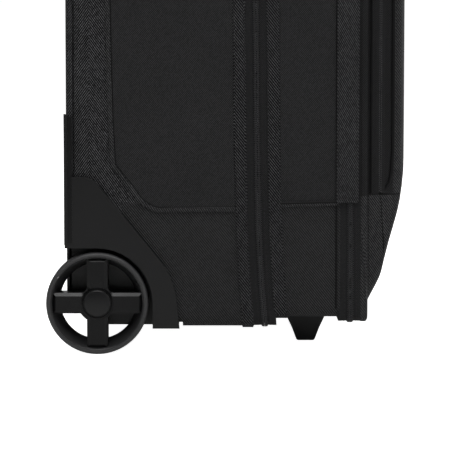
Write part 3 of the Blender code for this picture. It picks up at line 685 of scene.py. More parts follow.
def carve(shape: bmesh.types.BMesh, tool: bmesh.types.BMesh) -> bmesh.types.BMesh:
    """Cuts the tool away from the shape, and uses both up.

    Args:
        shape: what is cut.
        tool: what is taken away.

    Returns:
        What is left of the shape.
    """
    objects = []
    for part in (shape, tool):
        bmesh.ops.recalc_face_normals(part, faces=part.faces)
        mesh = bpy.data.meshes.new("carving")
        part.to_mesh(mesh)
        part.free()
        scratch = bpy.data.objects.new("carving", mesh)
        bpy.context.scene.collection.objects.link(scratch)
        objects.append(scratch)
    boolean = objects[0].modifiers.new("cut", "BOOLEAN")
    boolean.operation = "DIFFERENCE"
    boolean.solver = "EXACT"
    boolean.object = objects[1]
    shown = objects[0].evaluated_get(bpy.context.evaluated_depsgraph_get())
    result = bmesh.new()
    result.from_mesh(shown.to_mesh())
    shown.to_mesh_clear()
    for scratch in objects:
        mesh = scratch.data
        bpy.data.objects.remove(scratch)
        bpy.data.meshes.remove(mesh)
    bmesh.ops.remove_doubles(result, verts=result.verts, dist=1e-3)
    return result


def softened(node: bpy.types.Object, width: float, segments: int = 2,
             limit: float = 35.0) -> bmesh.types.BMesh:
    """A copy of a frame node with its doubles merged, its flats joined and its sharp edges rounded.

    Args:
        node: the frame node.
        width: the width of the rounding, or 0 for none.
        segments: the steps of the rounding.
        limit: the angle in degrees above which an edge is sharp.

    Returns:
        The copy in millimetres.
    """
    shape = bmesh.new()
    shape.from_mesh(node.data)
    bmesh.ops.scale(shape, vec=(1 / MM,) * 3, verts=shape.verts)
    bmesh.ops.remove_doubles(shape, verts=shape.verts, dist=0.005)
    bmesh.ops.dissolve_limit(shape, angle_limit=math.radians(1.0), verts=shape.verts, edges=shape.edges)
    if width <= 0.0:
        return shape
    sharp = [e for e in shape.edges
             if len(e.link_faces) == 2 and e.calc_face_angle(0.0) > math.radians(limit)]
    bmesh.ops.bevel(shape, geom=sharp, affect="EDGES", offset=width, segments=segments, profile=0.5,
                    material=-1, clamp_overlap=True)
    return shape


def bent(z: float, profile: tuple[tuple[float, float], ...]) -> float:
    """Reads a curve of straight stretches between (height, value) pairs.

    Args:
        z: the height.
        profile: (height, value) pairs from low to high.

    Returns:
        The value at that height.
    """
    if z <= profile[0][0]:
        return profile[0][1]
    for (z0, a), (z1, b) in zip(profile, profile[1:]):
        if z <= z1:
            share = (z - z0) / (z1 - z0)
            return a + (b - a) * share
    return profile[-1][1]


@dataclass(frozen=True)
class Lean:
    """How far the soft case leans forward about its main zip, by height."""

    curve: tuple[tuple[float, float], ...] = (
        (21.0, 3.8), (47.0, 1.6), (91.0, -0.9), (150.0, -2.1), (259.0, -3.2), (340.0, -2.0), (400.0, 0.0))
    back: float = -70.0
    front: float = 77.0

    def shift(self, x: float, z: float) -> float:
        """How far a point moves along X.

        Args:
            x: its place from back to front.
            z: its height.

        Returns:
            The distance in millimetres.
        """
        if x <= self.back or x >= self.front:
            return 0.0
        if x < 0.0:
            weight = (x - self.back) / -self.back
        elif x > 40.0:
            weight = (self.front - x) / (self.front - 40.0)
        else:
            weight = 1.0
        return bent(z, self.curve) * weight * weight * (3 - 2 * weight)

    def settle(self, shape: bmesh.types.BMesh) -> None:
        """Moves every vertex of a shape."""
        for vert in shape.verts:
            vert.co.x += self.shift(vert.co.x, vert.co.z)


LEAN = Lean()


def tucked(shape: bmesh.types.BMesh) -> bmesh.types.BMesh:
    """Draws the case's back forward towards its bottom, where the back curves under between the wheels.

    Args:
        shape: the shape, which is changed.

    Returns:
        The same shape.
    """
    curve = ((21.0, 13.0), (25.0, 9.5), (30.0, 6.4), (36.0, 3.0), (43.0, 0.0))
    for level, _ in curve[1:]:
        bmesh.ops.bisect_plane(shape, geom=[*shape.verts, *shape.edges, *shape.faces], dist=1e-3,
                               plane_co=(0.0, 0.0, level), plane_no=(0.0, 0.0, 1.0))
    for vert in shape.verts:
        weight = min(1.0, max(0.0, (-60.0 - vert.co.x) / 50.0))
        vert.co.x += bent(vert.co.z, curve) * weight
    return shape


def place(name: str, shape: bmesh.types.BMesh, finish: Weave | Moulded | Metal | tuple,
          body: Body | str | None,
          stands_for: tuple[str, ...] = (), choose: Callable | None = None, leans: bool = False,
          smooth: float = 35.0) -> bpy.types.Object:
    """Makes the finished piece from a shape in millimetres, and fits it to its body.

    Args:
        name: the piece's name.
        shape: its mesh, which is used up.
        finish: its finish, or a tuple of finishes for `choose` to pick from.
        body: the body that it rides on, or nothing for a piece that lies between two and rides on neither.
        stands_for: the frame's nodes that it replaces.
        choose: gives the number of a face's finish.
        leans: whether it leans with the soft case.
        smooth: the angle in degrees up to which it is shaded smooth.

    Returns:
        The piece.
    """
    finishes = finish if isinstance(finish, tuple) else (finish,)
    if leans:
        LEAN.settle(shape)
    bmesh.ops.recalc_face_normals(shape, faces=shape.faces)
    shape.normal_update()
    if choose:
        for face in shape.faces:
            face.material_index = choose(face)
    bmesh.ops.scale(shape, vec=(MM,) * 3, verts=shape.verts)
    mesh = bpy.data.meshes.new(name)
    shape.to_mesh(mesh)
    shape.free()
    for kind in finishes:
        mesh.materials.append(material(kind))
    mesh.shade_smooth()
    mesh.set_sharp_from_angle(angle=math.radians(smooth))
    piece = bpy.data.objects.new(name, mesh)
    bpy.context.scene.collection.objects.link(piece)
    if smooth < 50.0:
        even = piece.modifiers.new("even shading", "WEIGHTED_NORMAL")
        even.keep_sharp = True
    if body is not None:
        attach(piece, body.value if isinstance(body, Body) else body)
    if stands_for:
        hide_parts(*stands_for)
    LOG.info("%s: %d faces", name, len(mesh.polygons))
    return piece


def dress(node: bpy.types.Object, finish: Weave | Moulded | Metal) -> None:
    """Gives a frame node a better material."""
    node.data.materials.clear()
    node.data.materials.append(material(finish))


# ---- The case's sizes ----------------------------------------------------------------------
@dataclass(frozen=True)
class Box:
    """One rounded compartment of the case, seen from the front."""

    half_width: float
    bottom: float
    top: float = 418.0
    low: float = 9.0
    high: float = 38.0

    def ring(self, x: float, inset: float = 0.0, steps: int = 10, gap: float = 12.0) -> Path:
        """A ring of the compartment across X, drawn in by an inset."""
        low, high = max(self.low - inset, 2.0), max(self.high - inset, 2.0)
        y, z0, z1 = self.half_width - inset, self.bottom + inset, self.top - inset
        corners = [(-y, z0, low), (y, z0, low), (y, z1, high), (-y, z1, high)]
        return along_x(x, spaced(outline(corners, steps), gap, closed=True))

    def run(self, end: float, gap: float = 8.0, steps: int = 14) -> Path:
        """An open line up one side, over the top and down the other, that starts and ends under the case."""
        y, z0, z1 = self.half_width, self.bottom, self.top
        corners = [(end, z0), (y, z0, self.low), (y, z1, self.high), (-y, z1, self.high), (-y, z0, self.low),
                   (-end, z0)]
        return along_x(0.0, spaced(outline(corners, steps), gap))


REAR_BOX = Box(185.0, 19.9)
MID_BOX = Box(184.5, 26.6)
FRONT_BOX = Box(184.5, 23.0)
REAR_SPLIT, LAPTOP_SPLIT, FLAP_SPLIT = 21.5, 87.8, 109.5
FLAP_SEAM = 117.0
WHEEL = Vector((-97.5, 0.0, 37.5))
X_AXIS = Vector((1.0, 0.0, 0.0))


def faces_out(face: bmesh.types.BMFace, middle: Vector) -> bool:
    """True if a face looks away from the middle of its compartment."""
    return face.normal.dot(face.calc_center_median() - middle) > 0.0


# ---- Zips ----------------------------------------------------------------------------------
@dataclass
class CoilZip:
    """One half of a coil zip: its tape, with the coil along the edge."""

    tape_width: float = 7.0
    under: float = 1.6
    tape_sink: float = 0.5
    coil_width: float = 2.3
    pitch: float = 1.6

    def build(self, name: str, split: float, forward: int, path: Path, body: Body, node: str | None,
              leans: bool) -> None:
        """Builds the tape and coil of one half.

        Args:
            name: the half's name.
            split: where the two halves meet, along X.
            forward: 1 for the half in front of the split and -1 for the one behind it.
            path: the line of the case's surface at X = 0.
            body: the body that it rides on.
            node: the frame node that it replaces, if it has one.
            leans: whether it leans with the soft case.
        """
        near, far = 0.2, self.tape_width + self.under
        flat = [(near, -self.tape_sink - 0.7), (far, -self.tape_sink - 0.7), (far, -self.tape_sink + 0.1),
                (far - 1.6, -self.tape_sink + 0.15), (near + 2.4, -self.tape_sink), (near, -self.tape_sink)]
        tape = sweep([(split + forward * a, b) for a, b in flat], path, across=X_AXIS)
        place(f"{name}_tape", tape, TAPE, body, (node,) if node else (), leans=leans)
        tooth = bead(self.coil_width, self.pitch * 0.8, 1.5, 8)
        bmesh.ops.rotate(tooth, cent=(0, 0, 0), matrix=Matrix.Rotation(math.radians(-9 * forward), 3, "Z"),
                         verts=tooth.verts)
        bmesh.ops.translate(tooth, vec=(split + forward * (0.05 + self.coil_width / 2), 0.0, -0.05),
                            verts=tooth.verts)
        frames = steps_along(path, self.pitch, across=X_AXIS)
        head = bead(0.95, self.pitch * 0.5, 1.3, 6)
        bmesh.ops.translate(head, vec=(split + forward * 0.5, forward * self.pitch * 0.25, 0.3),
                            verts=head.verts)
        place(f"{name}_coil", repeat(tooth, frames), COIL, body, leans=leans, smooth=60.0)
        # The heads carry the paler nylon as a painted highlight.
        place(f"{name}_heads", repeat(head, frames), COIL_HEAD_HIGHLIGHT, body, leans=leans, smooth=60.0)
        edge = split + forward * (self.tape_width - 2.6)
        row = [p + Vector((edge, 0.0, 0.0)) for p in path]
        seam = stitches(row, across=X_AXIS, pitch=2.6, lift=-self.tape_sink + 0.1)
        place(f"{name}_stitches", seam, THREAD, body, leans=leans, smooth=60.0)


def dust_flap(name: str, split: float, path: Path, body: Body, leans: bool, reach: float = 6.0) -> None:
    """A strip of cloth behind a zip, which keeps dust and daylight out."""
    section = [(split - reach - 1.0, -2.3), (split + reach, -2.3), (split + reach, -1.7),
               (split - reach - 1.0, -1.7)]
    # The flap takes the plain nylon darkened as painted shade.
    place(name, sweep(section, path, across=X_AXIS), PLAIN_NYLON_PAINTED_SHADE, body, leans=leans)


def hinge_cloth(name: str, start: tuple[float, float], end: tuple[float, float], half: float) -> None:
    """The cloth that two compartments are hinged on, curved from one to the other and riding on neither.

    Args:
        name: the piece's name.
        start: (x, z) of its edge on the first body.
        end: (x, z) of its edge on the second.
        half: its half width.
    """
    steps, thick = 12, 0.8
    rings = []
    for k in range(steps + 1):
        x = start[0] + (end[0] - start[0]) * k / steps
        z = start[1] + (end[1] - start[1]) * (k / steps) ** 2 * (3 - 2 * k / steps)
        rings.append([Vector((x, -half, z)), Vector((x, half, z)), Vector((x, half, z + thick)),
                      Vector((x, -half, z + thick))])
    # The cloth takes the plain nylon darkened as painted shade.
    piece = place(name, skin(rings), PLAIN_NYLON_PAINTED_SHADE, None)
    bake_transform(piece)


def stuffed(node: bpy.types.Object, voxel: float, pressure: float, reach: float,
            held: Callable[[Vector], bool] | None = None) -> bmesh.types.BMesh:
    """A frame node's solid in even faces, blown out a little as stuffing does.

    Args:
        node: the frame node.
        voxel: the size of the new faces.
        pressure: how hard it is blown.
        reach: the furthest that a point may move.
        held: tells which points stay where they are.

    Returns:
        The shape in millimetres.
    """
    mesh = node.data.copy()
    body = bpy.data.objects.new(f"{node.name}_stuffing", mesh)
    bpy.context.scene.collection.objects.link(body)
    even = body.modifiers.new("even", "REMESH")
    even.mode, even.voxel_size = "VOXEL", voxel * MM
    graph = bpy.context.evaluated_depsgraph_get()
    remade = bpy.data.meshes.new_from_object(body.evaluated_get(graph))
    body.modifiers.clear()
    body.data = remade
    rest = [v.co.copy() for v in remade.vertices]
    moved = rest
    group = body.vertex_groups.new(name="held")
    group.add([v.index for v in remade.vertices if held and held(v.co / MM)], 1.0, "REPLACE")
    cloth = body.modifiers.new("stuffing", "CLOTH")
    cloth.settings.quality = 5
    cloth.settings.mass = 0.3
    cloth.settings.vertex_group_mass = "held" if held else ""
    cloth.settings.use_pressure = True
    cloth.settings.uniform_pressure_force = pressure
    cloth.settings.effector_weights.gravity = 0.0
    cloth.collision_settings.use_collision = False
    for step in range(1, 21):
        bpy.context.scene.frame_set(step)
    shown = body.evaluated_get(bpy.context.evaluated_depsgraph_get())
    moved = [v.co.copy() for v in shown.data.vertices]
    bpy.context.scene.frame_set(1)
    shape = bmesh.new()
    shape.from_mesh(remade)
    for vert, before, after in zip(shape.verts, rest, moved):
        shift = after - before
        vert.co = (before + shift * min(1.0, reach * MM / max(shift.length, 1e-9))) / MM
    bmesh.ops.smooth_vert(shape, verts=shape.verts, factor=0.5, use_axis_x=True, use_axis_y=True,
                          use_axis_z=True)
    bmesh.ops.subdivide_edges(shape, edges=shape.edges, cuts=1, use_grid_fill=True, smooth=0.6)
    bpy.data.objects.remove(body)
    for spare in (mesh, remade):
        bpy.data.meshes.remove(spare)
    return shape


# ---- The rear compartment ------------------------------------------------------------------
@dataclass
class RearCompartment:
    """The fixed fabric box, its panels, webbing band and binding."""

    back: float = -119.6
    front: float = 14.2
    wall: float = 4.0
    inlay: tuple = ((-87.7, 392.0, 26.0), (-87.7, 262.0), (-86.8, 214.0), (-85.6, 168.0), (-84.0, 139.5, 6.0),
                    (-72.0, 124.0), (-64.4, 113.5, 12.0), (-55.0, 107.6, 12.0), (4.6, 108.2),
                    (4.6, 392.0, 14.0))

    def build(self) -> None:
        """Builds every piece of the compartment."""
        self.build_shell()
        self.build_side_panels()
        self.build_band()
        self.build_straps()
        self.build_back()

    def well(self, grow: float) -> list[tuple]:
        """The space of a wheel housing in side view, grown outwards."""
        wall, reach = 2.8 + grow, 41.0
        return [(-140.0, 5.0), (-37.0 + grow, 5.0), (-37.0 + grow, 23.5 + grow),
                (WHEEL.x + reach + wall, 23.5 + grow),
                (WHEEL.x + reach + wall, WHEEL.z + reach + wall, reach + wall),
                (-140.0, WHEEL.z + reach + wall)]

    def build_shell(self) -> None:
        """The box: ballistic cloth outside, lining inside, with the wheel wells and the handle's seat."""
        edge = [(0.0, 7.0), (0.4, 4.6), (1.6, 2.6), (3.6, 1.0), (4.5, 1.0), (4.7, 1.9), (5.5, 1.9),
                (5.8, 0.2), (7.0, 0.0),
                (40.0, 0.0), (80.0, 0.0), (120.0, 0.0)]
        rings = [REAR_BOX.ring(self.back + x, inset) for x, inset in edge]
        rings += [REAR_BOX.ring(self.front - 0.8, 0.0), REAR_BOX.ring(self.front, 0.8)]
        shell = skin(rings)
        room = skin([REAR_BOX.ring(x, self.wall) for x in (self.back + self.wall, 0.0, self.front + 10.0)])
        for side in Side:
            span = sorted((side.value * 151.0, side.value * 200.0))
            room = carve(room, plate(self.well(3.5), 1, *span, steps=12))
        shell = carve(shell, room)
        for side in Side:
            span = sorted((side.value * 154.5, side.value * 200.0))
            shell = carve(shell, plate(self.well(0.3), 1, *span, steps=12))
        shell = carve(shell, plate([(-140.0, -111.3), (-76.7, -111.3), (-76.7, 111.3), (-140.0, 111.3)], 2,
                                   387.0, 440.0))
        middle = Vector((-50.0, 0.0, 210.0))

        def pick(face: bmesh.types.BMFace) -> int:
            """The cloth of one face: lining inside, quieter ballistic low on the sides."""
            spot = face.calc_center_median()
            if not faces_out(face, middle):
                return 1
            return 2 if spot.z < 107.0 and spot.x > -79.0 else 0

        place("rear_box", tucked(shell), (BALLISTIC, LINING, BALLISTIC_LOW), Body.REAR, ("rear_shell",),
              leans=True,
              choose=pick)

    def build_side_panels(self) -> None:
        """On each side, the plain inlay inside its folded and double-stitched hem."""
        line = spaced(outline([(4.6, 392.0), *self.inlay[:-1]], 8), 8.0)
        for side in Side:
            span = sorted((side.value * 184.6, side.value * 185.25))
            panel = plate(list(self.inlay), 1, *span, steps=8, spacing=8.0)
            place(f"side_inlay_{side.word}", panel, SMOOTH, Body.REAR, leans=True)
            up = Vector((0.0, side.value, 0.0))
            centre = self.beside(line, 1.8)
            path = on_side(side, 185.0, centre)
            hem = sweep(rounded(3.4, 1.3, 0.5), path, up=up)
            place(f"side_hem_{side.word}", hem, BALLISTIC_FRONT, Body.REAR, leans=True)
            # A near-black cord along the inlay's edge paints the shadow line where the inlay sits below its
            # hem.
            hem_shadow_line = sweep(circle(0.45, 6, 0.15), on_side(side, 185.2, self.beside(line, -0.1)), up=up)
            place(f"side_crease_{side.word}", hem_shadow_line, PIPING, Body.REAR, leans=True, smooth=60.0)
            rows = [stitches(on_side(side, 186.25, self.beside(line, out)), up=up, pitch=3.0)
                    for out in (0.9, 2.7)]
            place(f"side_hem_stitches_{side.word}", joined(*rows), THREAD, Body.REAR, leans=True, smooth=60.0)

    @staticmethod
    def beside(points: list[Vector], out: float) -> list[Vector]:
        """A line drawn beside another, on the outer side of the inlay.

        Args:
            points: the line.
            out: the distance between the two.

        Returns:
            The second line.
        """
        result = []
        for i, here in enumerate(points):
            ahead = points[min(i + 1, len(points) - 1)] - points[max(i - 1, 0)]
            across = Vector((ahead.y, -ahead.x)).normalized()
            result.append(here + across * out)
        return result

    def build_band(self) -> None:
        """The webbing band behind the main zip, with a row of stitches near each edge."""
        webbing_band("rear_webbing", REAR_BOX, 5.0, 13.2, 1.2, Body.REAR, ("rear_band",))

    def build_straps(self) -> None:
        """Two packing straps with side-release buckles against the back board."""
        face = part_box("back_board")[1][0] / MM + 0.3
        for side in Side:
            line = spaced([Vector((side.value * 96.0, 60.0)), Vector((side.value * 66.0, 380.0))], 16.0)
            strap = sweep(rounded(25.0, 1.2, 0.4), along_x(face, line), up=X_AXIS)
            place(f"packing_strap_{side.word}", strap, STRAP, Body.REAR)
            y = side.value * 81.0
            buckle = plate([(y - 17.0, 200.0, 5.0), (y + 17.0, 200.0, 5.0), (y + 15.0, 252.0, 9.0),
                            (y - 15.0, 252.0, 9.0)], 0, face + 0.6, face + 7.0, rounding=2.4)
            place(f"packing_buckle_{side.word}", buckle, GUARD, Body.REAR)

    def build_back(self) -> None:
        """The binding round the back edge."""
        path = REAR_BOX.ring(0.0, 0.0, gap=10.0)
        section = [(-119.4, -6.2), (-120.0, -5.2), (-120.1, -3.4), (-119.7, -1.2), (-118.4, 0.1),
                   (-116.2, 0.5),
                   (-115.2, 0.2), (-115.1, -1.6), (-117.2, -4.2)]
        binding = sweep(section, path, across=X_AXIS, closed=True)
        wells = [plate(self.well(0.2), 1, *sorted((side.value * 150.0, side.value * 200.0)), steps=12)
                 for side in Side]
        for well in wells:
            binding = carve(binding, well)
        binding = carve(binding,
                        plate([(-140.0, -111.3), (-76.7, -111.3), (-76.7, 111.3), (-140.0, 111.3)], 2,
                                       387.0, 440.0))
        place("back_binding", tucked(binding), BALLISTIC, Body.REAR)


def webbing_band(name: str, box: Box, x0: float, x1: float, thick: float, body: Body,
                 nodes: tuple[str, ...] = ()) -> None:
    """A webbing band that lies round a compartment, sewn along both edges.

    Args:
        name: the band's name.
        box: the compartment under it.
        x0: its back edge.
        x1: its front edge.
        thick: how far it stands proud.
        body: the body that it rides on.
        nodes: the frame nodes that it replaces.
    """
    path = box.ring(0.0, 0.0, gap=10.0)
    middle, width = (x0 + x1) / 2, x1 - x0
    section = [(middle + a, b - 0.3) for a, b in rounded(width, thick + 0.3, 0.5)]
    place(name, sweep(section, path, across=X_AXIS, closed=True), WEBBING, body, nodes, leans=True)
    rows = []
    for x in (x0 + 1.1, x1 - 1.1):
        row = [p + Vector((x, 0.0, 0.0)) for p in path]
        rows.append(stitches(row + row[:1], across=X_AXIS, pitch=2.9, lift=thick))
    place(f"{name}_stitches", joined(*rows), THREAD, body, leans=True, smooth=60.0)


# ---- The laptop compartment ----------------------------------------------------------------
@dataclass
class LaptopCompartment:
    """The middle box, which is the rear compartment's lid and holds the laptop."""

    back: float = 28.8
    front: float = 80.5
    wall: float = 4.0
    seam: float = 110.6

    def build(self) -> None:
        """Builds every piece of the compartment."""
        rings = [MID_BOX.ring(self.back, 0.6), MID_BOX.ring(self.back + 0.8, 0.0), MID_BOX.ring(45.0, 0.0),
                 MID_BOX.ring(62.0, 0.0), MID_BOX.ring(self.front - 0.8, 0.0), MID_BOX.ring(self.front, 0.6)]
        shell = carve(skin(rings), skin([MID_BOX.ring(x, self.wall) for x in (self.back + 3.0, 90.5)]))
        middle = Vector((60.0, 0.0, 210.0))
        place("laptop_box", shell, (BALLISTIC_LOW, LINING), Body.LID, ("mid_shell",), leans=True,
              choose=lambda face: 0 if faces_out(face, middle) or face.calc_center_median().x < 29.5 else 1)
        webbing_band("mid_webbing", MID_BOX, 29.3, 38.5, 1.2, Body.LID)
        self.build_side_panels()
        self.build_straps()

    def build_side_panels(self) -> None:
        """The plain inlay above the seam on each side, with the piping and stitches at its foot."""
        corners = [(38.2, self.seam), (79.6, self.seam + 1.3), (79.6, 392.0, 8.0), (38.2, 392.0, 8.0)]
        for side in Side:
            span = sorted((side.value * 184.1, side.value * 184.8))
            panel = plate(corners, 1, *span, steps=4, spacing=10.0)
            place(f"mid_inlay_{side.word}", panel, SMOOTH, Body.LID, leans=True)
            up = Vector((0.0, side.value, 0.0))
            foot = spaced([Vector((38.4, self.seam)), Vector((79.0, self.seam + 1.3))], 6.0)
            cord = sweep(circle(1.0, 8, 0.4), on_side(side, 184.6, foot), up=up)
            place(f"mid_piping_{side.word}", cord, PIPING, Body.LID, leans=True, smooth=60.0)
            below = [p + Vector((0.0, -1.7)) for p in foot]
            fold = sweep(rounded(2.2, 1.3, 0.5), on_side(side, 184.4, below), up=up)
            place(f"mid_fold_{side.word}", fold, BALLISTIC_FRONT, Body.LID, leans=True)
            # A near-black cord down the zip strap's back edge paints the strap's shadow on the side.
            edge = spaced([Vector((77.4, 34.0)), Vector((77.4, 380.0))], 10.0)
            place(f"strap_side_cord_{side.word}",
                  sweep(circle(0.7, 8, 0.1), on_side(side, 184.7, edge), up=up),
                  PIPING, Body.LID, smooth=60.0)
            row = [p + Vector((0.0, -1.7)) for p in foot]
            seam = stitches(on_side(side, 184.6, row), up=up, pitch=2.8)
            place(f"mid_seam_stitches_{side.word}", seam, THREAD, Body.LID, leans=True, smooth=60.0)

    def build_straps(self) -> None:
        """The webbing strap over the laptop zip on each side, with bars of stitches across its ends."""
        for side in Side:
            up = Vector((0.0, side.value, 0.0))
            low, high, middle = 111.3, 371.7, 86.0
            line = spaced([Vector((middle - 0.6, low)), Vector((middle, high))], 8.0)
            strap = sweep([(a, b - 0.2) for a, b in rounded(16.2, 2.0, 0.8)], on_side(side, 185.0, line),
                          up=up)
            place(f"zip_strap_{side.word}", strap, STRAP, Body.LID, (f"zip_cover_{side.word}",))
            rows = [stitches(on_side(side, 186.85, [p + Vector((a, 0.0)) for p in line]), up=up, pitch=3.0)
                    for a in (-6.6, 6.6)]
            for z in (low + 3.0, low + 8.4, high - 3.0, high - 8.4):
                bar = spaced([Vector((middle - 6.2, z)), Vector((middle + 6.2, z))], 6.0)
                rows.append(stitches(on_side(side, 186.85, bar), up=up, pitch=2.2))
            place(f"zip_strap_stitches_{side.word}", joined(*rows), THREAD, Body.LID, smooth=60.0)


# ---- The front section ---------------------------------------------------------------------
@dataclass
class FrontSection:
    """The laptop compartment's lid, with the bumper, the pocket's gusset and its flap."""

    back: float = 95.1
    front: float = 100.6
    profile: tuple = ((100.9, 180.0, 38.0, 404.0), (104.0, 179.7, 44.0, 403.5), (107.5, 179.3, 50.5, 403.0),
                      (110.8, 179.0, 58.0, 402.0), (113.2, 178.7, 68.0, 401.0), (116.5, 178.2, 81.0, 400.0),
                      (120.0, 177.5, 93.0, 398.0), (123.8, 175.5, 107.0, 394.0), (126.0, 172.0, 119.0, 390.0),
                      (127.5, 166.0, 130.0, 386.0), (128.7, 150.0, 140.0, 378.0),
                      (130.2, 128.0, 154.0, 364.0),
                      (132.6, 90.0, 184.0, 335.0))
    thick: float = 2.4

    def row(self, x: float) -> tuple[float, float, float]:
        """The pocket's half width, foot and top at a place along X, on a smooth curve through its profile.

        Args:
            x: the place.

        Returns:
            The three sizes.
        """
        rows = self.profile
        index = 0
        while index < len(rows) - 2 and rows[index + 1][0] < x:
            index += 1
        share = (x - rows[index][0]) / (rows[index + 1][0] - rows[index][0])
        p0, p1, p2, p3 = (rows[max(0, min(len(rows) - 1, index + k))] for k in (-1, 0, 1, 2))
        width = p2[0] - p1[0]
        values = []
        for k in (1, 2, 3):
            slope1 = (p2[k] - p0[k]) / max(p2[0] - p0[0], 1e-6) * width
            slope2 = (p3[k] - p1[k]) / max(p3[0] - p1[0], 1e-6) * width
            s2, s3 = share * share, share**3
            values.append((2 * s3 - 3 * s2 + 1) * p1[k] + (s3 - 2 * s2 + share) * slope1
                          + (3 * s2 - 2 * s3) * p2[k] + (s3 - s2) * slope2)
        return tuple(values)

    def ring(self, x: float, out: float = 0.0) -> Path:
        """A ring of the pocket across X."""
        half, low, high = self.row(min(x, self.profile[-1][0]))
        half, low, high = half + out, low - out, high + out
        corners = [(-half, low, 10.0), (half, low, 10.0), (half, high, 30.0), (-half, high, 30.0)]
        return along_x(x, spaced(outline(corners, 8), 14.0, closed=True))

    def cloth(self, places: list[float], cap: bool) -> bmesh.types.BMesh:
        """The pocket's outer skin over a range of places along X.

        Args:
            places: where its rings lie.
            cap: whether the last ring is closed by a face.

        Returns:
            The skin, with no thickness yet.
        """
        shape = bmesh.new()
        loops = []
        for x in places:
            verts = [shape.verts.new(p) for p in self.ring(x)]
            loops.append([shape.edges.new((verts[i - 1], verts[i])) for i in range(len(verts))])
        for near, far in zip(loops, loops[1:]):
            bmesh.ops.bridge_loops(shape, edges=near + far)
        if cap:
            bmesh.ops.contextual_create(shape, geom=loops[-1])
        bmesh.ops.recalc_face_normals(shape, faces=shape.faces)
        return shape

    def walled(self, shape: bmesh.types.BMesh, height: float, above: bool) -> bmesh.types.BMesh:
        """Keeps one side of a level cut, and gives the skin its thickness inwards.

        Args:
            shape: the skin, which is changed.
            height: the height of the cut.
            above: whether the upper side stays.

        Returns:
            The same shape as a wall.
        """
        bmesh.ops.bisect_plane(shape, geom=[*shape.verts, *shape.edges, *shape.faces], dist=1e-4,
                               plane_co=(0.0, 0.0, height), plane_no=(0.0, 0.0, 1.0), clear_inner=above,
                               clear_outer=not above)
        outwards = sum((f.normal.x * f.calc_area() for f in shape.faces))
        if outwards < 0:
            bmesh.ops.reverse_faces(shape, faces=shape.faces)
        bmesh.ops.solidify(shape, geom=shape.faces, thickness=self.thick)
        return shape

    def build(self) -> None:
        """Builds every piece of the section."""
        rings = [FRONT_BOX.ring(self.back, 0.5), FRONT_BOX.ring(self.back + 0.7, 0.0),
                 FRONT_BOX.ring(self.front - 2.0, 0.0), FRONT_BOX.ring(self.front - 0.7, 0.6),
                 FRONT_BOX.ring(self.front, 2.0)]
        lid = carve(skin(rings), skin([FRONT_BOX.ring(x, 4.0) for x in (90.1, self.front - 3.0)]))
        middle = Vector((80.0, 0.0, 210.0))
        # Above z 116 the lid's outer faces take the plain nylon darkened as painted shade.
        place("laptop_lid_shell", lid, (BALLISTIC_FRONT, PLAIN_NYLON_PAINTED_SHADE, LINING), Body.LAPTOP, ("front_shell",),
              choose=lambda face: 2 if not faces_out(face, middle)
              else (0 if face.calc_center_median().z < 116.0 else 1))
        back_rows = [100.9, 102.5, 104.0, 106.0, 107.6, 109.2]
        front_rows = [109.8, 111.0, 112.2, 113.2, 115.0, 117.0, 119.0, 121.0, 123.0, 124.8, 126.2, 127.5,
                      128.1, 128.7,
                      129.4, 130.2, 131.0, 131.8, 132.6]
        bumper = self.walled(self.cloth([*back_rows, *front_rows], cap=True), 116.7, above=False)
        place("front_bumper_cloth", bumper, BALLISTIC_FRONT, Body.LAPTOP, ("front_bumper",))
        # The gusset, and the flap behind its piping, take the plain nylon darkened as painted shade.
        gusset = self.walled(self.cloth(back_rows, cap=False), 117.0, above=True)
        place("pocket_gusset_cloth", gusset, PLAIN_NYLON_PAINTED_SHADE, Body.LAPTOP, ("pocket_gusset",))
        flap = self.walled(self.cloth(front_rows, cap=True), 117.3, above=True)
        place("pocket_flap_cloth", flap, (PLAIN_NYLON_PAINTED_SHADE, BALLISTIC_FRONT), Body.FLAP, ("pocket_flap",),
              choose=lambda face: 0 if face.calc_center_median().x < 118.5 else 1)
        self.build_trim()

    def upper(self, x: float, out: float = 0.0) -> Path:
        """The pocket's line above the seam, up one side, over the top and down the other."""
        half, _, high = self.row(x)
        half, high = half + out, high + out
        corners = [(half, FLAP_SEAM + 1.0), (half, high, 30.0), (-half, high, 30.0), (-half, FLAP_SEAM + 1.0)]
        return along_x(0.0, spaced(outline(corners, 10), 8.0))

    def build_trim(self) -> None:
        """The pocket's zip and its piping."""
        path = self.upper(FLAP_SPLIT)
        zip_half = CoilZip(tape_width=3.4, under=0.0, tape_sink=-0.5, coil_width=1.5)
        zip_half.build("pocket_zip_back", FLAP_SPLIT, -1, path, Body.LAPTOP, None, False)
        zip_half.build("pocket_zip_front", FLAP_SPLIT, 1, path, Body.FLAP, None, False)
        bend = ((118.0, 110.6), (121.0, 113.4), (126.0, 116.4), (133.0, 117.9), (150.0, 118.9),
                (400.0, 118.9))
        line = [p + Vector((bent(p.z, bend), 0.0, 0.0)) for p in self.upper(118.9)]
        for side in Side:
            up = Vector((0.0, side.value, 0.0))
            seam = [Vector((110.0, 116.0)), Vector((111.0, 100.0)), Vector((112.1, 84.0)),
                    Vector((112.6, 74.0))]
            place(f"bumper_seam_{side.word}", sweep(circle(0.5, 6, 0.2), on_side(side, 178.5, seam), up=up),
                  PIPING,
                  Body.LAPTOP, smooth=60.0)
            lip = [Vector((96.0, 90.0)), Vector((97.6, 74.0)), Vector((98.8, 57.0)), Vector((99.2, 39.0))]
            place(f"lip_fold_{side.word}", sweep(circle(0.8, 6, 0.1), on_side(side, 184.3, lip), up=up),
                  STRAP,
                  Body.LAPTOP, smooth=60.0)
        # A near-black cord in the groove between the gusset and the pocket zip paints the shade in it.
        fold = [p + Vector((102.8, 0.0, 0.0)) for p in self.upper(102.8)]
        place("pocket_fold", sweep(circle(0.9, 8, 0.0), fold, across=X_AXIS), PIPING, Body.LAPTOP,
              smooth=60.0)
        cord = sweep(circle(1.4, 10, 0.4), line, across=X_AXIS)
        place("pocket_piping", cord, PIPING, Body.FLAP, smooth=60.0)


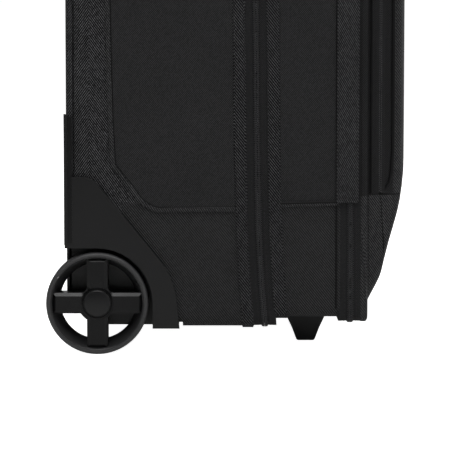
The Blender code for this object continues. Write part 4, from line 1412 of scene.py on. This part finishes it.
# ---- Wheels --------------------------------------------------------------------------------
@dataclass
class Wheel:
    """One wheel: the tyre, the spoked hub and its cap."""

    radius: float = 37.5
    inner: float = 166.0
    rim: float = 34.2

    def build(self, side: Side, nodes: dict[str, bpy.types.Object]) -> None:
        """Builds the wheel on one side and dresses its bush.

        Args:
            side: the wheel's side.
            nodes: the frame's nodes by name.
        """
        body = f"wheel_{side.word}"
        centre = Vector((WHEEL.x, side.value * self.inner, WHEEL.z))
        tread = [(self.rim + 0.1, 1.5), (35.6, 0.9), (36.9, 1.9), (37.4, 3.4), (self.radius, 5.5),
                 (self.radius, 20.4), (37.2, 21.8), (36.6, 22.8), (35.7, 23.3),
                 (self.rim + 0.1, 22.9)]
        place(f"tyre_{side.word}_moulding", turned(tread, centre, side.value, 96), RUBBER, body,
              (f"tyre_{side.word}",))
        rim = [(28.2, 1.6), (self.rim, 1.6), (self.rim, 22.4), (34.0, 22.9), (33.7, 22.7), (33.3, 21.6),
               (31.4, 14.0)]
        # The rim's paler plastic partly paints the light on its dished cone.
        place(f"rim_{side.word}_moulding", turned(rim, centre, side.value, 96), RIM, body)
        spokes = self.spokes(side)
        boss = turned([(0.0, 1.0), (12.0, 1.0), (12.0, 21.0), (11.6, 21.8), (10.9, 22.0), (10.4, 21.4),
                       (10.3, 20.0), (0.0, 20.0)], centre, side.value, 64)
        place(f"hub_{side.word}_moulding", joined(spokes, boss), HUB, body, (f"hub_{side.word}",),
              smooth=22.0)
        dome = [(0.0, 20.3), (9.8, 20.3), (9.8, 22.0), (9.5, 22.6), (8.8, 23.0), (5.0, 23.4), (0.0, 23.5)]
        place(f"hub_cap_{side.word}_moulding", turned(dome, centre, side.value, 48), GUARD, body,
              (f"hub_cap_{side.word}",))
        dress(nodes[f"wheel_bush_{side.word}"], STEEL)
        dress(nodes[f"axle_{side.word}"], STEEL)

    def spokes(self, side: Side) -> bmesh.types.BMesh:
        """The four spokes as one cross with filleted corners and broad chamfers on its outer edges.

        Args:
            side: the wheel's side.

        Returns:
            The cross.
        """
        reach, half, fillet = 32.9, 7.6, 4.5
        corners = []
        for quarter in range(4):
            turn = Matrix.Rotation(math.pi / 2 * quarter, 2)
            for a, b, *radius in ((reach, -half), (reach, half), (half, half, fillet)):
                spot = turn @ Vector((a, b))
                corners.append((spot.x + WHEEL.x, spot.y + WHEEL.z, *radius))
        low, high = side.value * (self.inner + 3.0), side.value * (self.inner + 21.3)
        shape = plate(corners, 1, low, high, rounding=2.4, steps=6, segments=1)
        for vert in shape.verts:
            depth = abs(high) - abs(vert.co.y)
            if 0.01 < depth < 2.6:
                vert.co.y = side.value * (abs(high) - depth * 0.62)
        return shape


@dataclass
class WheelHousing:
    """The moulded guard over one wheel."""

    rounding: float = 1.1

    def build(self, side: Side, nodes: dict[str, bpy.types.Object]) -> None:
        """Rounds the guard's edges and dresses its screw.

        Args:
            side: the guard's side.
            nodes: the frame's nodes by name.
        """
        name = f"wheel_housing_{side.word}"
        shape = softened(nodes[name], self.rounding, segments=1)
        span = sorted((side.value * 158.5, side.value * 164.5))
        corner = [(-130.0, 5.0), (-130.0, 43.5), (-120.9, 43.5), (-113.6, 30.5, 6.0), (-107.5, 21.2, 6.0),
                  (-104.0, 5.0)]
        shape = carve(shape, plate(corner, 1, *span, steps=6))
        wall = plate([(-121.0, 43.0), (-117.5, 43.0), (-117.5, 77.0), (-121.0, 77.0)], 1,
                     *sorted((side.value * 160.0, side.value * 163.0)))
        flange = plate([(-121.4, 80.5), (-119.2, 80.5), (-119.2, 176.0, 1.5), (-121.4, 176.0)], 1,
                       *sorted((side.value * 186.0, side.value * 189.0)))
        place(f"{name}_moulding", joined(shape, wall, flange), GUARD, Body.REAR, (name,))
        # A strip of the darker hub plastic laid proud of the guard paints the dark band of shade by its back
        # edge.
        painted_shade_strip = plate([(-118.9, 82.0), (-115.6, 82.0), (-115.6, 174.0, 1.5), (-118.9, 174.0)], 1,
                       *sorted((side.value * 186.0, side.value * 188.65)))
        place(f"{name}_groove", painted_shade_strip, HUB, Body.REAR)
        dress(nodes[f"guard_screw_{side.word}"], STEEL)


# ---- Feet, handle and hardware -------------------------------------------------------------
@dataclass
class Hardware:
    """The small parts that keep the frame's own shape with rounder edges or a better finish."""

    rounded_nodes: tuple = (
        ("foot_left", FOOT, 0.8, Body.LID), ("foot_right", FOOT, 0.8, Body.LID),
        ("base_tray", GUARD, 0.5, Body.REAR), ("handle_bezel", GUARD, 0.8, Body.REAR),
        ("handle_anchor_left", GUARD, 1.2, Body.REAR), ("handle_anchor_right", GUARD, 1.2, Body.REAR),
        ("grip_lower", GUARD, 0.3, "handle_stage_2"), ("grip_upper", GUARD, 0.5, "handle_stage_2"),
        ("release_button", HUB, 1.2, "release"))
    plain_nodes: tuple = (
        ("back_board", BOARD), ("tube_bracket", STEEL), ("push_rods", STEEL),
        ("lock_pin_left", STEEL), ("lock_pin_right", STEEL), ("foot_screw_left", STEEL),
        ("foot_screw_right", STEEL), ("outer_tube_left", ALUMINIUM), ("outer_tube_right", ALUMINIUM),
        ("middle_tube_left", ALUMINIUM), ("middle_tube_right", ALUMINIUM), ("inner_tube_left", ALUMINIUM),
        ("inner_tube_right", ALUMINIUM))

    def build(self, nodes: dict[str, bpy.types.Object]) -> None:
        """Builds the rounded pieces and dresses the plain ones.

        Args:
            nodes: the frame's nodes by name.
        """
        for name, finish, width, body in self.rounded_nodes:
            shape = softened(nodes[name], width)
            place(f"{name}_moulding", tucked(shape) if name == "base_tray" else shape, finish, body, (name,))
        wire = place("button_spring_wire", softened(nodes["button_spring"], 0.0), STEEL, "handle_stage_2",
                     ("button_spring",), smooth=60.0)
        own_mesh(wire)
        for name, finish in self.plain_nodes:
            dress(nodes[name], finish)
        for name in ("rear_zip_left", "rear_zip_right", "laptop_zip", "pocket_zip"):
            for part in ("slider", "pull"):
                node = f"{name}_{part}"
                place(f"{node}_casting", softened(nodes[node], 0.25), GUNMETAL, name.replace("zip", part),
                      (node,))
        handle = place("carry_handle_padding", stuffed(nodes["carry_handle"], 4.0, 4.0, 1.4,
                                                       lambda spot: abs(spot.y) > 70.0),
                       STRAP, Body.CARRY, ("carry_handle",), smooth=180.0)
        pad = place("laptop_padding", stuffed(nodes["laptop_pad"], 5.0, 4.0, 1.2), LINING, Body.LID,
                    ("laptop_pad",), smooth=180.0)


# ---- Studio --------------------------------------------------------------------------------
@dataclass
class Studio:
    """A pale floor, soft lights and the camera. Places are in metres."""

    floor_side: float = 30.0
    camera_place: tuple[float, float, float] = (-0.004, -2.06, 0.25)
    camera_drop: float = 4.73
    lens: float = 206.0
    surround: float = 0.06

    def build(self) -> None:
        """Builds the whole studio."""
        scene = bpy.context.scene
        scene.view_settings.view_transform = "Standard"
        self.build_floor()
        self.build_surround(scene)
        self.add_light("overhead", (0.0, -0.5, 2.4), (0.0, 0.0, 0.0), 2.4, 2.2, 36.0)
        self.add_light("from_the_front", (2.2, -1.0, 1.2), (0.1, 0.0, 0.2), 1.6, 1.6, 10.0)
        self.add_light("rim", (1.9, 1.8, 0.7), (0.1, 0.0, 0.25), 1.2, 1.4, 13.0)
        self.add_light("from_the_back", (-2.2, -0.9, 1.3), (-0.1, 0.0, 0.2), 1.4, 1.4, 6.0)
        self.add_light("front_top", (-0.2, -1.7, 2.1), (0.0, -0.18, 0.1), 0.9, 0.9, 12.0)
        self.add_light("fill", (0.3, -3.6, 1.4), (0.0, 0.0, 0.2), 1.6, 1.2, 0.7)
        self.add_light("far_side", (0.0, 3.0, 1.6), (0.0, 0.0, 0.2), 2.0, 2.0, 10.0)
        data = bpy.data.cameras.new("camera")
        data.lens = self.lens
        data.sensor_width = 36.0
        data.clip_start, data.clip_end = 0.05, 60.0
        camera = bpy.data.objects.new("camera", data)
        camera.location = self.camera_place
        camera.rotation_euler = (math.radians(90.0 - self.camera_drop), 0.0, 0.0)
        scene.collection.objects.link(camera)
        scene.camera = camera

    def build_floor(self) -> None:
        """A wide pale floor."""
        shape = bmesh.new()
        bmesh.ops.create_grid(shape, x_segments=2, y_segments=2, size=self.floor_side / 2)
        mesh = bpy.data.meshes.new("floor")
        shape.to_mesh(mesh)
        shape.free()
        made, tree, shader = blank("pale floor")
        shader.inputs["Base Color"].default_value = colour("f4f4f3")
        shader.inputs["Roughness"].default_value = 0.9
        shader.inputs["Specular IOR Level"].default_value = 0.1
        shader.inputs["Emission Color"].default_value = (1.0, 1.0, 1.0, 1.0)
        seen = add_node(tree, "ShaderNodeLightPath").outputs["Is Camera Ray"]
        tree.links.new(reckon(tree, "MULTIPLY", seen, 1.0), shader.inputs["Emission Strength"])
        mesh.materials.append(made)
        floor = bpy.data.objects.new("floor", mesh)
        bpy.context.scene.collection.objects.link(floor)

    def build_surround(self, scene: bpy.types.Scene) -> None:
        """White surroundings, dimmer as a light than they look.

        Args:
            scene: the scene that they surround.
        """
        world = bpy.data.worlds.new("surround")
        world.use_nodes = True
        tree = world.node_tree
        background = tree.nodes["Background"]
        background.inputs["Color"].default_value = (1.0, 1.0, 1.0, 1.0)
        seen = add_node(tree, "ShaderNodeLightPath").outputs["Is Camera Ray"]
        strength = reckon(tree, "MULTIPLY_ADD", seen, 1.02 - self.surround, self.surround)
        tree.links.new(strength, background.inputs["Strength"])
        scene.world = world

    def add_light(self, name: str, spot: tuple, aim: tuple, width: float, height: float,
                  power: float) -> None:
        """One soft panel of light.

        Args:
            name: the light's name.
            spot: where it hangs.
            aim: the point that it faces.
            width: its width.
            height: its height.
            power: its power in watts.
        """
        data = bpy.data.lights.new(name, "AREA")
        data.shape = "RECTANGLE"
        data.size, data.size_y = width, height
        data.energy = power
        light = bpy.data.objects.new(name, data)
        light.location = spot
        light.rotation_euler = (Vector(aim) - Vector(spot)).to_track_quat("-Z", "Y").to_euler()
        light.visible_camera = False
        bpy.context.scene.collection.objects.link(light)


def main() -> None:
    """Dresses the whole case."""
    logging.basicConfig(level=logging.INFO, format="%(message)s")
    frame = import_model()
    nodes = frame["nodes"]
    Studio().build()
    RearCompartment().build()
    LaptopCompartment().build()
    FrontSection().build()
    main_zip = CoilZip()
    path = REAR_BOX.run(140.3)
    dust_flap("main_dust_flap", REAR_SPLIT, path, Body.REAR, True)
    hinge_cloth("main_hinge_cloth", (15.5, 19.2), (37.0, 25.7), 139.8)
    hinge_cloth("laptop_hinge_cloth", (77.5, 25.7), (98.0, 22.1), 139.8)
    main_zip.build("main_zip_back", REAR_SPLIT, -1, path, Body.REAR, "rear_zip_back", True)
    main_zip.build("main_zip_front", REAR_SPLIT, 1, path, Body.LID, "rear_zip_front", True)
    path = FRONT_BOX.run(140.3)
    dust_flap("laptop_dust_flap", LAPTOP_SPLIT, path, Body.LID, False)
    main_zip.build("laptop_zip_back", LAPTOP_SPLIT, -1, path, Body.LID, "laptop_zip_back", False)
    main_zip.build("laptop_zip_front", LAPTOP_SPLIT, 1, path, Body.LAPTOP, "laptop_zip_front", False)
    for side in Side:
        WheelHousing().build(side, nodes)
        Wheel().build(side, nodes)
    Hardware().build(nodes)


if __name__ == "__main__":
    main()
